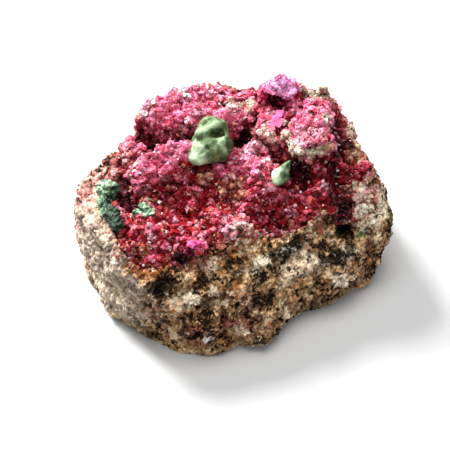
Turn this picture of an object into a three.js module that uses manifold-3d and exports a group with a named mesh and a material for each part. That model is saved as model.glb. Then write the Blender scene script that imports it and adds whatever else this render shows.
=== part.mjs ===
// A hand specimen of kolwezite on salrose: a broken block of carbonate host rock whose upper face
// carries a thick druse of pink cobaltoan dolomite (salrose). Two pale green kolwezite nodules sit on
// the druse, a lobed malachite crust lines its left edge and a small malachite sprig grows in a hollow.
//
// Millimetres, +Z up. X runs along the long front face, -Y is the front, and the origin is below the
// middle of the specimen on the flat it rests on. Plan positions below are taken from a point near
// the middle, and the whole is moved onto the origin at the end.

import * as THREE from 'three';
import { mergeVertices } from 'three/addons/utils/BufferGeometryUtils.js';
import { ImprovedNoise } from 'three/addons/math/ImprovedNoise.js';
import Module from 'manifold-3d';

const wasm = await Module();
wasm.setup();

// ---------------------------------------------------------------------------------------------
// Driving dimensions
// ---------------------------------------------------------------------------------------------

const GAP = 0.3; // clearance between solids that have grown against each other
const UNDER = -6; // safely under the rest plane
const OVER = 44; // safely over the highest point
const OUTSIDE = 42; // a radius safely outside the block

// The block is bounded by rough fracture faces. Each has the compass direction its normal points in
// (degrees from +X towards +Y), how far that normal leans up from the horizontal, and how far the
// face lies from the block's core.
const CORE = new THREE.Vector3(-1, -1, 13);
const FRACTURE_FACES = [
  { name: 'front', heading: -91, lean: 30, reach: 17.4 },
  { name: 'front right corner', heading: -46, lean: 9, reach: 30.8 },
  { name: 'right end', heading: -10, lean: 8, reach: 31.8 },
  { name: 'back right', heading: 50, lean: 12, reach: 25.4 },
  { name: 'back', heading: 92, lean: 6, reach: 22.6 },
  { name: 'back left corner', heading: 130, lean: 8, reach: 32.2 },
  { name: 'left end', heading: 178, lean: -3, reach: 30.7 },
  { name: 'front left corner', heading: -142, lean: 1.5, reach: 28.9 },
  { name: 'foot of the front', heading: -92, lean: -8, reach: 23.4 },
  { name: 'lower right bevel', heading: -20, lean: -34, reach: 30.0 },
  { name: 'lower back bevel', heading: 80, lean: -35, reach: 25.0 },
  { name: 'lower left bevel', heading: -172, lean: -32, reach: 33.3 },
];
const FACE_SHARPNESS = 22; // higher gives crisper edges between the fracture faces
const ROCK_SIDES = 76; // facets round the block
const ROCK_ROW = 2.3; // height of a row of facets
const ROCK_ROUGHNESS = 1.3; // height of the broken lumps on the fracture faces
const ROCK_LUMP = 8; // their size
const ROCK_GRAIN = { height: 0.5, size: 3 }; // unevenness of the bare rim round the druse
const ROCK_RINGS = 19; // rings of facets on the bare rim
const RIM_STEP = 0.5; // how far the bare rim lies below the upper face
const RIM_FALL = 0.45; // and its further drop for each millimetre outside the druse

// Faint beds step in and out down the sides: their thickness, their dip to the left, how the joints
// between them wave, the share of a bed that is a joint, and how deep the joint is and how proud
// the bed.
const BEDS = { thickness: 6.5, dip: 0.12, wave: 1.5, waveSize: 14, joint: 0.16, deep: 0.45, proud: 0.11 };

// Bulges and hollows of the sides: the heading and height of the middle of each, its half widths in
// degrees round the block and in millimetres up it, and how far it stands out.
const SIDE_SWELLS = [
  { name: 'foot of the front', heading: -104, height: 2, size: [14, 8], rise: 2.6 },
  { name: 'foot of the front left corner', heading: -147, height: 2, size: [13, 8], rise: -1.4 },
  { name: 'foot of the left end', heading: 176, height: 2, size: [12, 7], rise: 1.4 },
  { name: 'foot of the back left', heading: 151, height: 2, size: [9, 8], rise: -1.5 },
  { name: 'left end', heading: 163, height: 14, size: [16, 8], rise: -1.0 },
  { name: 'top of the left end', heading: 148, height: 20, size: [8, 5], rise: 1.6 },
  { name: 'back left', heading: 135, height: 23, size: [13, 7], rise: -3.0 },
  { name: 'right end', heading: -12, height: 22, size: [20, 10], rise: -1.8 },
  { name: 'far right corner', heading: 20, height: 28, size: [8, 8], rise: -3.0 },
  { name: 'near right corner', heading: -40, height: 15, size: [10, 10], rise: 2.0 },
  { name: 'foot of the right corner', heading: -49, height: 3, size: [6, 7], rise: -1.4 },
];

// Upper face: a slope that rises to the back and to the right. Ledges stand on it with a level top
// and steep sides; swells, ridges, crevices and vugs add to it or take away. Each has a centre, two
// half widths and a turn in degrees.
const SLOPE = { middle: 25.4, toBack: 0.26, toRight: 0.06 };
const LEDGES = [
  { name: 'back left lump', at: [-3.2, 16.7], size: [11.2, 5.6], turn: -20, top: 32.0, follow: 0.8 },
  { name: 'right block', at: [16.2, -3.9], size: [5.8, 6.8], turn: -28, top: 33.4, follow: 0.2 },
];
const LEDGE_SHARPNESS = 4.5;
const FEATURES = [
  { name: 'crevice round its end', at: [-12.2, 16.4], size: [3.6, 1.5], turn: -64, rise: -5.0 },
  { name: 'crevice under it', at: [-7.2, 11.8], size: [5.0, 1.4], turn: -30, rise: -5.0 },
  { name: 'left ridge', at: [-13.9, 9.2], size: [7.2, 2.3], turn: -4, rise: 4.0 },
  { name: 'left hollow', at: [-21.2, 8.0], size: [4.8, 2.1], turn: -108, rise: -4.6 },
  { name: 'nodule shelf', at: [-3.0, 4.8], size: [4.6, 3.0], turn: -30, rise: 2.0 },
  { name: 'vug by the nodule', at: [5.2, 7.8], size: [2.8, 2.0], turn: -56, rise: -7.0 },
  { name: 'middle lump', at: [7.6, 3.2], size: [3.4, 3.4], turn: -30, rise: 5.0 },
  { name: 'ridge right of the nodule', at: [2.2, -2.4], size: [5.6, 2.2], turn: -26, rise: 2.8 },
  { name: 'middle spur', at: [2.2, -6.6], size: [5.6, 3.2], turn: -121, rise: 3.2 },
  { name: 'cleft left of the block', at: [9.9, -0.8], size: [4.0, 1.1], turn: -112, rise: -4.6 },
  { name: 'vug behind the bud', at: [9.4, -9.6], size: [3.2, 1.8], turn: -70, rise: -5.0 },
  { name: 'magenta peak', at: [15.0, 7.8], size: [4.6, 2.0], turn: -32, rise: 9.0 },
  { name: 'notch under the peak', at: [13.4, 4.9], size: [3.6, 1.1], turn: -34, rise: -5.4 },
  { name: 'back knob', at: [23.0, 3.6], size: [4.4, 3.2], turn: -38, rise: 6.4 },
  { name: 'right front lumps', at: [14.0, -13.6], size: [3.8, 1.9], turn: -24, rise: 4.4 },
  { name: 'cleft beside the block', at: [23.0, -8.0], size: [3.2, 1.3], turn: -62, rise: -3.0 },
  { name: 'far right lump', at: [23.4, -12.2], size: [3.0, 2.6], turn: -45, rise: 3.2 },
  { name: 'right groove', at: [15.9, -17.4], size: [4.6, 1.5], turn: -112, rise: -7.5 },
  { name: 'right front corner', at: [21.2, -17.4], size: [3.6, 2.6], turn: -40, rise: 1.8 },
  { name: 'front bowl', at: [2.4, -12.6], size: [6.4, 2.4], turn: -12, rise: -3.6 },
  { name: 'pale lump at the rim', at: [-7.4, -11.4], size: [3.6, 2.4], turn: -11, rise: 2.6 },
  { name: 'front crystals', at: [-14.8, -10.8], size: [2.6, 1.8], turn: -22, rise: 1.8 },
  { name: 'front notch', at: [-18.8, -11.8], size: [2.0, 1.2], turn: -30, rise: -3.2 },
  { name: 'front left swell', at: [-21.8, -5.4], size: [6.2, 3.6], turn: -30, rise: 1.6 },
  { name: 'basin', at: [-11.7, -1.2], size: [8.0, 5.2], turn: -25, rise: -2.8 },
  { name: 'right rim', at: [29.0, 1.0], size: [3.0, 5.0], turn: 0, rise: -4.0 },
  { name: 'left shoulder', at: [-30.0, 17.0], size: [9.0, 9.0], turn: 0, rise: -9.0 },
];
const DRUSE_ROUGHNESS = { height: 1.1, size: 5 };

// The druse in plan, seen from above, anticlockwise from the right front.
const DRUSE_CENTRE = [-1, 1];
const DRUSE_OUTLINE = [
  [23.0, -17.2], [25.4, -12.0], [27.2, -5.0], [28.0, 2.0], [24.2, 8.0], [17.4, 12.4], [10.8, 16.0],
  [4.0, 20.2], [-4.0, 21.4], [-10.8, 21.3], [-13.4, 20.6], [-17.0, 17.6], [-22.0, 15.6], [-25.2, 12.4],
  [-26.0, 7.4], [-27.6, 1.6], [-28.8, -4.0], [-27.8, -8.2], [-24.0, -10.6], [-18.4, -11.2],
  [-14.0, -11.8], [-9.6, -12.2], [-4.4, -13.8], [2.4, -15.2], [7.0, -15.6], [11.0, -15.6],
  [14.2, -16.4], [16.2, -18.8], [20.0, -19.6],
];
const DRUSE_RINGS = 18; // rings of crystal points between the centre and the rim
const DRUSE_RIM_DROP = 0.7; // how far the druse's edge lies below the upper face
const DRUSE_OVERHANG = 0.9; // how far it may stand out past the block's sides
const CRYSTAL_RISE = 0.95; // height of a typical crystal tip over its neighbours
const CRYSTAL_SCATTER = 0.4; // how far a tip may stray from its place on the lattice

// The bedding surface that the druse grew on, inside the block: a slope that curls up to the rim.
const BEDDING = { middle: 18.2, toBack: 0.2, toRight: 0.03, rimRise: 2.4, rimHigh: 3.8, halfSpan: [28, 20] };
const BEDDING_RINGS = 10;
const POCKET_RINGS = 14; // the druse's pocket in the host rock follows the druse's edge

// Larger single rhombs of salrose that stand out of the druse: centre, edge length, heading, tilt.
const RHOMB_SHEAR = 0.22; // lean of a rhomb's faces away from square
const RHOMB_LEAN = 35;
const RHOMB_DEPTH = 0.1; // share of the edge by which a rhomb's middle is sunk
const LARGE_RHOMBS = [
  { at: [9.8, 4.8], edge: 2.4, heading: 30, tilt: 35 },
  { at: [11.4, 2.0], edge: 2.0, heading: 75, tilt: 50 },
  { at: [16.4, 9.6], edge: 2.8, heading: 10, tilt: 25 },
  { at: [13.2, 10.8], edge: 2.2, heading: 60, tilt: 40 },
  { at: [-11.8, 17.0], edge: 2.0, heading: 15, tilt: 45 },
  { at: [-3.2, 17.6], edge: 1.8, heading: 50, tilt: 30 },
  { at: [-14.8, -11.8], edge: 2.0, heading: 20, tilt: 40 },
  { at: [-6.4, -12.6], edge: 1.8, heading: -15, tilt: 35 },
  { at: [20.6, -4.0], edge: 2.0, heading: 65, tilt: 35 },
  { at: [22.8, -12.4], edge: 2.0, heading: 25, tilt: 50 },
];

// Nodules. Each is bounded by soft faces, given as the fracture faces are but from the nodule's own
// middle, and swells or dimples at its lobes: a heading and a height angle in degrees, an angular
// width in radians and a swell as a share of the radius. Sink is how deep the middle sits below the
// upper face, negative where it stands above it.
const NODULE_SHARPNESS = 14;
const KOLWEZITE_NODULE = {
  at: [-2.5, 6.1], sink: -2.3, detail: 4,
  faces: [
    { name: 'left', heading: 132, lean: 14, reach: 3.6 },
    { name: 'lower left', heading: 174, lean: -19, reach: 5.6 },
    { name: 'front left', heading: -165, lean: 30, reach: 4.1 },
    { name: 'front slope', heading: -120, lean: 58, reach: 3.4 },
    { name: 'front', heading: -120, lean: 12, reach: 4.4 },
    { name: 'front right', heading: -75, lean: 20, reach: 4.3 },
    { name: 'right', heading: -30, lean: 2, reach: 3.6 },
    { name: 'back right', heading: 28, lean: 36, reach: 5.2 },
    { name: 'back', heading: 85, lean: 37, reach: 5.2 },
    { name: 'foot of the back', heading: 70, lean: 0, reach: 4.8 },
    { name: 'top plate', heading: 140, lean: 70, reach: 3.9 },
    { name: 'under', heading: -120, lean: -72, reach: 3.2 },
  ],
  lobes: [
    { name: 'hollow under the brow', heading: -31, height: 60, width: 0.3, swell: -0.28 },
    { name: 'shallow hollow', heading: -178, height: 42, width: 0.22, swell: -0.1 },
    { name: 'right lobe', heading: -56, height: 12, width: 0.4, swell: 0.34 },
    { name: 'cheek', heading: -130, height: 42, width: 0.3, swell: 0.08 },
  ],
};
const KOLWEZITE_BUD = {
  at: [6.7, -6.4], sink: -0.9, detail: 3,
  faces: [
    { name: 'upper left', heading: 95, lean: 34, reach: 1.4 },
    { name: 'left', heading: 150, lean: 0, reach: 1.7 },
    { name: 'right', heading: -30, lean: 0, reach: 1.8 },
    { name: 'front', heading: -120, lean: 50, reach: 1.5 },
    { name: 'foot of the front', heading: -120, lean: -40, reach: 1.9 },
    { name: 'foot of the right', heading: -78, lean: -30, reach: 1.8 },
    { name: 'under', heading: 60, lean: -60, reach: 1.6 },
  ],
  lobes: [
    { name: 'tip', heading: 18, height: 34, width: 0.4, swell: 0.32 },
  ],
};
// Malachite grew as strings of small lumps: the middle of each lump, its radius and how far it stands
// above the upper face.
const MALACHITE_CRUST = [
  { at: [-24.8, 11.0], radius: 1.6, stand: 1.3 },
  { at: [-23.8, 9.5], radius: 1.4, stand: 1.1 },
  { at: [-25.5, 8.4], radius: 1.6, stand: 0.8 },
  { at: [-26.4, 6.3], radius: 1.5, stand: 0.3 },
  { at: [-26.8, 4.0], radius: 1.6, stand: 0.3 },
  { at: [-26.9, 2.0], radius: 1.5, stand: 0.4 },
  { at: [-27.2, 0.2], radius: 1.5, stand: 0.3 },
];
const MALACHITE_SPRIG = [
  { at: [-22.2, 1.2], radius: 0.9, stand: 0.7 },
  { at: [-20.6, 1.6], radius: 0.9, stand: 1.1 },
  { at: [-20.6, -0.2], radius: 1.0, stand: 0.7 },
];
const LUMP_DETAIL = 1;
const LUMP_UNEVENNESS = 0.22; // share of the radius

const SALROSE = { color: 0xb8365a, roughness: 0.3, metalness: 0 };
const HOST_ROCK = { color: 0x8f7a62, roughness: 0.9, metalness: 0 };
const KOLWEZITE = { color: 0x8fb08a, roughness: 0.85, metalness: 0 };
const MALACHITE = { color: 0x4f9468, roughness: 0.75, metalness: 0 };

// ---------------------------------------------------------------------------------------------
// Small tools
// ---------------------------------------------------------------------------------------------

const radians = THREE.MathUtils.degToRad;
const perlin = new ImprovedNoise();

// Smooth noise of about -1 to 1 that changes over the given size, in millimetres.
function noiseAt(x, y, z, size) {
  return perlin.noise(x / size + 17.3, y / size + 5.1, z / size + 41.7) * 1.6;
}

// A repeatable stream of numbers from 0 to 1.
function numberStream(seed) {
  let state = seed;
  return () => {
    state = (state * 1664525 + 1013904223) >>> 0;
    return state / 2 ** 32;
  };
}

// The unit vector with the given heading from +X and height above the horizontal, both in degrees.
function direction(heading, height) {
  const level = Math.cos(radians(height));
  return new THREE.Vector3(
    level * Math.cos(radians(heading)),
    level * Math.sin(radians(heading)),
    Math.sin(radians(height)),
  );
}

function solidFrom(positions, triangles) {
  return new wasm.Manifold(new wasm.Mesh({
    numProp: 3,
    vertProperties: new Float32Array(positions),
    triVerts: new Uint32Array(triangles),
  }));
}

function solidFromGeometry(geometry) {
  const bare = geometry.clone();
  bare.deleteAttribute('normal');
  bare.deleteAttribute('uv');
  const merged = mergeVertices(bare, 1e-4);
  return solidFrom(merged.attributes.position.array, merged.index.array);
}

function meshFrom(solid, name, finish) {
  const { numProp, numVert, vertProperties, triVerts } = solid.getMesh();
  const positions = new Float32Array(numVert * 3);
  for (let i = 0; i < numVert; i++) {
    positions.set(vertProperties.subarray(i * numProp, i * numProp + 3), i * 3);
  }
  const geometry = new THREE.BufferGeometry();
  geometry.setAttribute('position', new THREE.BufferAttribute(positions, 3));
  geometry.setIndex(new THREE.BufferAttribute(new Uint32Array(triVerts), 1));
  geometry.computeVertexNormals();
  const mesh = new THREE.Mesh(geometry, new THREE.MeshStandardMaterial({ ...finish, flatShading: true }));
  mesh.name = name;
  return mesh;
}

// ---------------------------------------------------------------------------------------------
// The host rock's sides
// ---------------------------------------------------------------------------------------------

// The distance from the upright line through the core, at a height over it and in a compass
// direction in radians, to the nearest fracture face, with the edges between faces rounded off.
function blockReach(angle, height) {
  let sum = 0;
  for (const { heading, lean, reach } of FRACTURE_FACES) {
    const towards = Math.cos(radians(lean)) * Math.cos(angle - radians(heading));
    const left = reach - Math.sin(radians(lean)) * height;
    if (towards > 0) sum += (towards / left) ** FACE_SHARPNESS;
  }
  return sum ** (-1 / FACE_SHARPNESS);
}

// Broken lumps and faint beds, as a height to add to a point on the sides.
function fractureRelief(p) {
  const lumps = noiseAt(p.x, p.y, p.z, ROCK_LUMP) + 0.45 * noiseAt(p.y, p.z, p.x, ROCK_LUMP / 2.3);
  const wave = BEDS.wave * noiseAt(p.x, p.y, 0, BEDS.waveSize);
  const bed = (p.z + BEDS.dip * p.x + wave) / BEDS.thickness;
  const inJoint = Math.abs(bed - Math.round(bed)) < BEDS.joint;
  return ROCK_ROUGHNESS * lumps + (inJoint ? -BEDS.deep : BEDS.proud);
}

// How far the sides stand out in a compass direction in radians, at a height over the rest plane.
function sideSwell(angle, z) {
  return SIDE_SWELLS.reduce((sum, { heading, height, size, rise }) => {
    const round = THREE.MathUtils.euclideanModulo(angle - radians(heading) + Math.PI, 2 * Math.PI) - Math.PI;
    return sum + rise * Math.exp(-((round / radians(size[0])) ** 2) - ((z - height) / size[1]) ** 2);
  }, 0);
}

// The block before its top is shaped, or the same with its sides further out: rows of facets from
// the rest plane to well above the upper face, closed by a fan below and above.
function makeBlock(proud = 0) {
  const rows = Math.ceil(OVER / ROCK_ROW);
  const positions = [];
  const triangles = [];
  const p = new THREE.Vector3();
  for (let row = 0; row <= rows; row++) {
    for (let side = 0; side < ROCK_SIDES; side++) {
      const angle = (side + (row % 2) / 2) / ROCK_SIDES * 2 * Math.PI;
      const z = row * ROCK_ROW;
      p.set(Math.cos(angle), Math.sin(angle), 0).multiplyScalar(blockReach(angle, z - CORE.z));
      p.add(CORE).setZ(z);
      const relief = fractureRelief(p) + sideSwell(angle, z) + proud;
      positions.push(p.x + relief * Math.cos(angle), p.y + relief * Math.sin(angle), z);
    }
  }
  const at = (row, side) => row * ROCK_SIDES + side % ROCK_SIDES;
  for (let row = 0; row < rows; row++) {
    for (let side = 0; side < ROCK_SIDES; side++) {
      const [a, b, c, d] = [at(row, side), at(row, side + 1), at(row + 1, side), at(row + 1, side + 1)];
      if (row % 2) triangles.push(a, b, d, a, d, c);
      else triangles.push(a, b, c, b, d, c);
    }
  }
  const foot = positions.push(CORE.x, CORE.y, 0) / 3 - 1;
  const head = positions.push(CORE.x, CORE.y, rows * ROCK_ROW) / 3 - 1;
  for (let side = 0; side < ROCK_SIDES; side++) {
    triangles.push(foot, at(0, side + 1), at(0, side));
    triangles.push(head, at(rows, side), at(rows, side + 1));
  }
  return solidFrom(positions, triangles);
}

function bareSphere(detail) {
  const sphere = new THREE.IcosahedronGeometry(1, detail);
  sphere.deleteAttribute('normal');
  sphere.deleteAttribute('uv');
  return sphere;
}

// ---------------------------------------------------------------------------------------------
// The upper face
// ---------------------------------------------------------------------------------------------

// How far out a point lies in a feature: 0 at its centre and 1 at its half widths, squared.
function shareOut(x, y, { at, size, turn }) {
  const dx = x - at[0];
  const dy = y - at[1];
  const c = Math.cos(radians(turn));
  const s = Math.sin(radians(turn));
  return ((dx * c + dy * s) / size[0]) ** 2 + ((dy * c - dx * s) / size[1]) ** 2;
}

function slopeHeight(x, y) {
  return SLOPE.middle + SLOPE.toBack * y + SLOPE.toRight * x;
}

// Height of the upper face above the rest plane, before crystals. A ledge's top is level where its
// follow is 0, and runs with the slope where that is 1.
function upperFace(x, y) {
  let height = slopeHeight(x, y) + DRUSE_ROUGHNESS.height * noiseAt(x, y, 3, DRUSE_ROUGHNESS.size);
  for (const ledge of LEDGES) {
    const slopeThere = slopeHeight(...ledge.at);
    const run = ledge.follow * (slopeHeight(x, y) - slopeThere);
    const rise = ledge.top + run - slopeHeight(x, y);
    height += rise * Math.exp(-(shareOut(x, y, ledge) ** LEDGE_SHARPNESS));
  }
  for (const feature of FEATURES) height += feature.rise * Math.exp(-shareOut(x, y, feature));
  return height;
}

function beddingHeight(x, y) {
  const { middle, toBack, toRight, rimRise, rimHigh, halfSpan } = BEDDING;
  const out = Math.hypot(x / halfSpan[0], y / halfSpan[1]);
  return middle + toBack * y + toRight * x + Math.min(rimRise * out ** 4, rimHigh);
}

// A closed outline as a radius about its centre.
function outlineAbout(centre, points) {
  const loop = new THREE.CatmullRomCurve3(
    points.map(([x, y]) => new THREE.Vector3(x - centre[0], y - centre[1], 0)), true, 'centripetal');
  const spokes = loop.getPoints(points.length * 12).map((v) => ({
    angle: Math.atan2(v.y, v.x), radius: Math.hypot(v.x, v.y),
  })).sort((a, b) => a.angle - b.angle);
  return (angle) => {
    const after = spokes.findIndex((spoke) => spoke.angle >= angle);
    const high = spokes[after < 0 ? 0 : after];
    const low = spokes.at(after <= 0 ? -1 : after - 1);
    const span = THREE.MathUtils.euclideanModulo(high.angle - low.angle, 2 * Math.PI) || 1;
    const share = THREE.MathUtils.euclideanModulo(angle - low.angle, 2 * Math.PI) / span;
    return THREE.MathUtils.lerp(low.radius, high.radius, Math.min(share, 1));
  };
}

// A closed slab over a star-shaped outline, on a triangular lattice of rings. top(x, y, kind, ring)
// gives its upper height, where kind is 0, 1 or 2 and every lattice point's neighbours alternate
// between the two other kinds. bottom(x, y) gives its lower height.
function slab({ centre, radius, rings, top, bottom, shift = () => [0, 0] }) {
  const index = new Map();
  const upper = [];
  const lower = [];
  const rim = [];
  const key = (q, r) => `${q},${r}`;
  for (let q = -rings; q <= rings; q++) {
    for (let r = -rings; r <= rings; r++) {
      const ring = Math.max(Math.abs(q), Math.abs(r), Math.abs(q + r));
      if (ring > rings) continue;
      const angle = Math.atan2(r * Math.sqrt(3) / 2, q + r / 2);
      const reach = ring / rings * radius(angle);
      const [dx, dy] = ring < rings ? shift(q, r) : [0, 0];
      const x = centre[0] + reach * Math.cos(angle) + dx;
      const y = centre[1] + reach * Math.sin(angle) + dy;
      const kind = THREE.MathUtils.euclideanModulo(q - r, 3);
      index.set(key(q, r), upper.length);
      if (ring === rings) rim.push({ angle, i: upper.length });
      upper.push([x, y, top(x, y, kind, ring)]);
      lower.push([x, y, bottom(x, y)]);
    }
  }
  const count = upper.length;
  const triangles = [];
  const face = (a, b, c) => triangles.push(a, b, c, c + count, b + count, a + count);
  for (const [name, i] of index) {
    const [q, r] = name.split(',').map(Number);
    const right = index.get(key(q + 1, r));
    const above = index.get(key(q, r + 1));
    const beyond = index.get(key(q + 1, r - 1));
    if (right !== undefined && above !== undefined) face(i, right, above);
    if (right !== undefined && beyond !== undefined) face(i, beyond, right);
  }
  rim.sort((a, b) => a.angle - b.angle);
  rim.forEach(({ i }, n) => {
    const next = rim[(n + 1) % rim.length].i;
    triangles.push(i + count, next + count, next, i + count, next, i);
  });
  return solidFrom([...upper, ...lower].flat(), triangles);
}

// ---------------------------------------------------------------------------------------------
// Nodules
// ---------------------------------------------------------------------------------------------

// The distance from a middle point, along a unit direction, to the nearest of the faces, with the
// edges between faces rounded off.
function softFaces(faces, sharpness) {
  const normals = faces.map((face) => direction(face.heading, face.lean));
  return (ray) => {
    let sum = 0;
    faces.forEach((face, i) => {
      const towards = normals[i].dot(ray);
      if (towards > 0) sum += (towards / face.reach) ** sharpness;
    });
    return sum ** (-1 / sharpness);
  };
}

function swellAt(ray, lobes) {
  return lobes.reduce((share, { heading, height, width, swell }) => {
    const angle = ray.angleTo(direction(heading, height));
    return share + swell * Math.exp(-((angle / width) ** 2));
  }, 1);
}

// A closed ball whose radius along each direction is given by a function.
function ballOf(centre, detail, radius) {
  const ball = mergeVertices(bareSphere(detail), 1e-4);
  const position = ball.attributes.position;
  const ray = new THREE.Vector3();
  const p = new THREE.Vector3();
  for (let i = 0; i < position.count; i++) {
    ray.fromBufferAttribute(position, i).normalize();
    p.copy(centre).addScaledVector(ray, radius(ray));
    position.setXYZ(i, p.x, p.y, p.z);
  }
  return solidFrom(position.array, ball.index.array);
}

// A kolwezite nodule, or the seat that it is let into, with the given clearance all round.
function makeNodule({ at, sink, detail, faces, lobes }, clearance = 0) {
  const centre = new THREE.Vector3(at[0], at[1], upperFace(at[0], at[1]) - sink);
  const reach = softFaces(faces, NODULE_SHARPNESS);
  return ballOf(centre, detail, (ray) => reach(ray) * swellAt(ray, lobes) + clearance);
}

// A string of malachite lumps joined in one solid, or its seat.
function makeLumps(lumps, clearance = 0) {
  return lumps.map(({ at, radius, stand }, n) => {
    const centre = new THREE.Vector3(at[0], at[1], upperFace(at[0], at[1]) + stand);
    return ballOf(centre, LUMP_DETAIL, (ray) => {
      const bump = noiseAt(ray.x + 3 * n, ray.y, ray.z, 0.8);
      return radius * (1 + LUMP_UNEVENNESS * bump) + clearance;
    });
  }).reduce((joined, lump) => joined.add(lump));
}

// ---------------------------------------------------------------------------------------------
// Assembly
// ---------------------------------------------------------------------------------------------

// A rhombohedron with one corner up, as salrose grows.
function makeRhomb({ at, edge, heading, tilt }) {
  const box = new THREE.BoxGeometry(edge, edge, edge);
  const k = RHOMB_SHEAR;
  const shear = new THREE.Matrix4().makeShear(0, 0, k, 0, k, k);
  const turned = new THREE.Euler(radians(tilt), radians(RHOMB_LEAN), radians(heading), 'ZYX');
  const place = new THREE.Matrix4().compose(
    new THREE.Vector3(at[0], at[1], upperFace(at[0], at[1]) - RHOMB_DEPTH * edge),
    new THREE.Quaternion().setFromEuler(turned),
    new THREE.Vector3(1, 1, 1),
  );
  box.applyMatrix4(shear).applyMatrix4(place);
  return solidFromGeometry(box);
}

const druseRadius = outlineAbout(DRUSE_CENTRE, DRUSE_OUTLINE);

// Everything below the bedding surface, raised by the given height.
function underBedding(raise) {
  return slab({
    centre: DRUSE_CENTRE, radius: () => OUTSIDE, rings: BEDDING_RINGS,
    top: (x, y) => beddingHeight(x, y) + raise, bottom: () => UNDER,
  });
}

// The druse: crystal tips on a lattice, each with lower ground and a notch beside it.
function makeDruse() {
  const random = numberStream(7);
  const tip = () => CRYSTAL_RISE * (0.45 + 0.9 * random());
  const rise = [() => tip(), () => 0.2 * tip(), () => -tip()];
  const stray = () => CRYSTAL_SCATTER * (2 * random() - 1);
  let druse = slab({
    centre: DRUSE_CENTRE, radius: druseRadius, rings: DRUSE_RINGS,
    top: (x, y, kind, ring) => upperFace(x, y) + (ring < DRUSE_RINGS ? rise[kind]() : -DRUSE_RIM_DROP),
    bottom: () => UNDER,
    shift: () => [stray(), stray()],
  });
  for (const rhomb of LARGE_RHOMBS) druse = druse.add(makeRhomb(rhomb));
  return druse.intersect(makeBlock(DRUSE_OVERHANG)).subtract(underBedding(GAP));
}

// How far a plan position lies outside the druse.
function outsideDruse(x, y) {
  const dx = x - DRUSE_CENTRE[0];
  const dy = y - DRUSE_CENTRE[1];
  return Math.max(0, Math.hypot(dx, dy) - druseRadius(Math.atan2(dy, dx)));
}

function bareRimHeight(x, y) {
  const grain = ROCK_GRAIN.height * noiseAt(x, y, 9, ROCK_GRAIN.size);
  return upperFace(x, y) - RIM_STEP - RIM_FALL * outsideDruse(x, y) + grain;
}

// The block, cut down to the bare rim and hollowed for the druse.
function makeHostRock() {
  const underRim = slab({
    centre: DRUSE_CENTRE, radius: () => OUTSIDE, rings: ROCK_RINGS, top: bareRimHeight, bottom: () => UNDER,
  });
  const pocket = slab({
    centre: DRUSE_CENTRE, radius: (angle) => druseRadius(angle) + GAP, rings: POCKET_RINGS,
    top: () => OVER, bottom: () => UNDER,
  }).subtract(underBedding(0));
  return makeBlock().intersect(underRim).subtract(pocket);
}

const growths = [
  { name: 'kolwezite_nodule', make: makeNodule, form: KOLWEZITE_NODULE, finish: KOLWEZITE },
  { name: 'kolwezite_bud', make: makeNodule, form: KOLWEZITE_BUD, finish: KOLWEZITE },
  { name: 'malachite_crust', make: makeLumps, form: MALACHITE_CRUST, finish: MALACHITE },
  { name: 'malachite_sprig', make: makeLumps, form: MALACHITE_SPRIG, finish: MALACHITE },
];

let druse = makeDruse();
let hostRock = makeHostRock();
for (const { make, form } of growths) {
  const seat = make(form, GAP);
  druse = druse.subtract(seat);
  hostRock = hostRock.subtract(seat);
}

const specimen = new THREE.Group();
specimen.add(
  meshFrom(hostRock, 'host_rock', HOST_ROCK),
  meshFrom(druse, 'salrose_druse', SALROSE),
  ...growths.map(({ name, make, form, finish }) => meshFrom(make(form), name, finish)),
);

// The origin goes below the middle of the specimen, on the rest plane.
const size = new THREE.Box3().setFromObject(specimen);
const middle = size.getCenter(new THREE.Vector3());
specimen.position.set(-middle.x, -middle.y, -size.min.z);

export default specimen;
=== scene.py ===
"""Looks of the kolwezite on salrose specimen.

A broken block of host rock carries a druse of pink salrose crystals. Two pale green kolwezite nodules,
a malachite crust and a malachite sprig grow on it. Each class below makes and dresses one growth of
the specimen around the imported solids. Places and sizes are in millimetres, and are turned into
metres where the meshes are made.
"""

import logging
import math
from abc import ABC, abstractmethod
from dataclasses import dataclass, field
from enum import Enum
from itertools import product

import bpy
import numpy as np
from mathutils import Matrix, Vector
from mathutils.kdtree import KDTree


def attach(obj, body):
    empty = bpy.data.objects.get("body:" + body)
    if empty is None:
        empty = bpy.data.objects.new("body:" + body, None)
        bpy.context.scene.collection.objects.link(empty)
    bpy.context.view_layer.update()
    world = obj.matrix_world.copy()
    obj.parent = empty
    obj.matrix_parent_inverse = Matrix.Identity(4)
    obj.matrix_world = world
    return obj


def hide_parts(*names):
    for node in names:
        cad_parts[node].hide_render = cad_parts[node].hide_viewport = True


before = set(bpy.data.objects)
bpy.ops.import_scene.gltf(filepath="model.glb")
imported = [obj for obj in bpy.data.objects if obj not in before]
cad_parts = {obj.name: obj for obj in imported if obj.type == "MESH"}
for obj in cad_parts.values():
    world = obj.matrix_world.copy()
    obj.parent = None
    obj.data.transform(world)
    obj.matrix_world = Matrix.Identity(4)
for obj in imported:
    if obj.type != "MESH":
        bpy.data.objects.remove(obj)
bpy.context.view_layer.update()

MM = 0.001
LOG = logging.getLogger("specimen")

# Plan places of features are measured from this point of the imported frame, in millimetres.
PLAN_ORIGIN = np.array([0.19, 1.56, 0.0])


# ---- Colours ----


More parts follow.
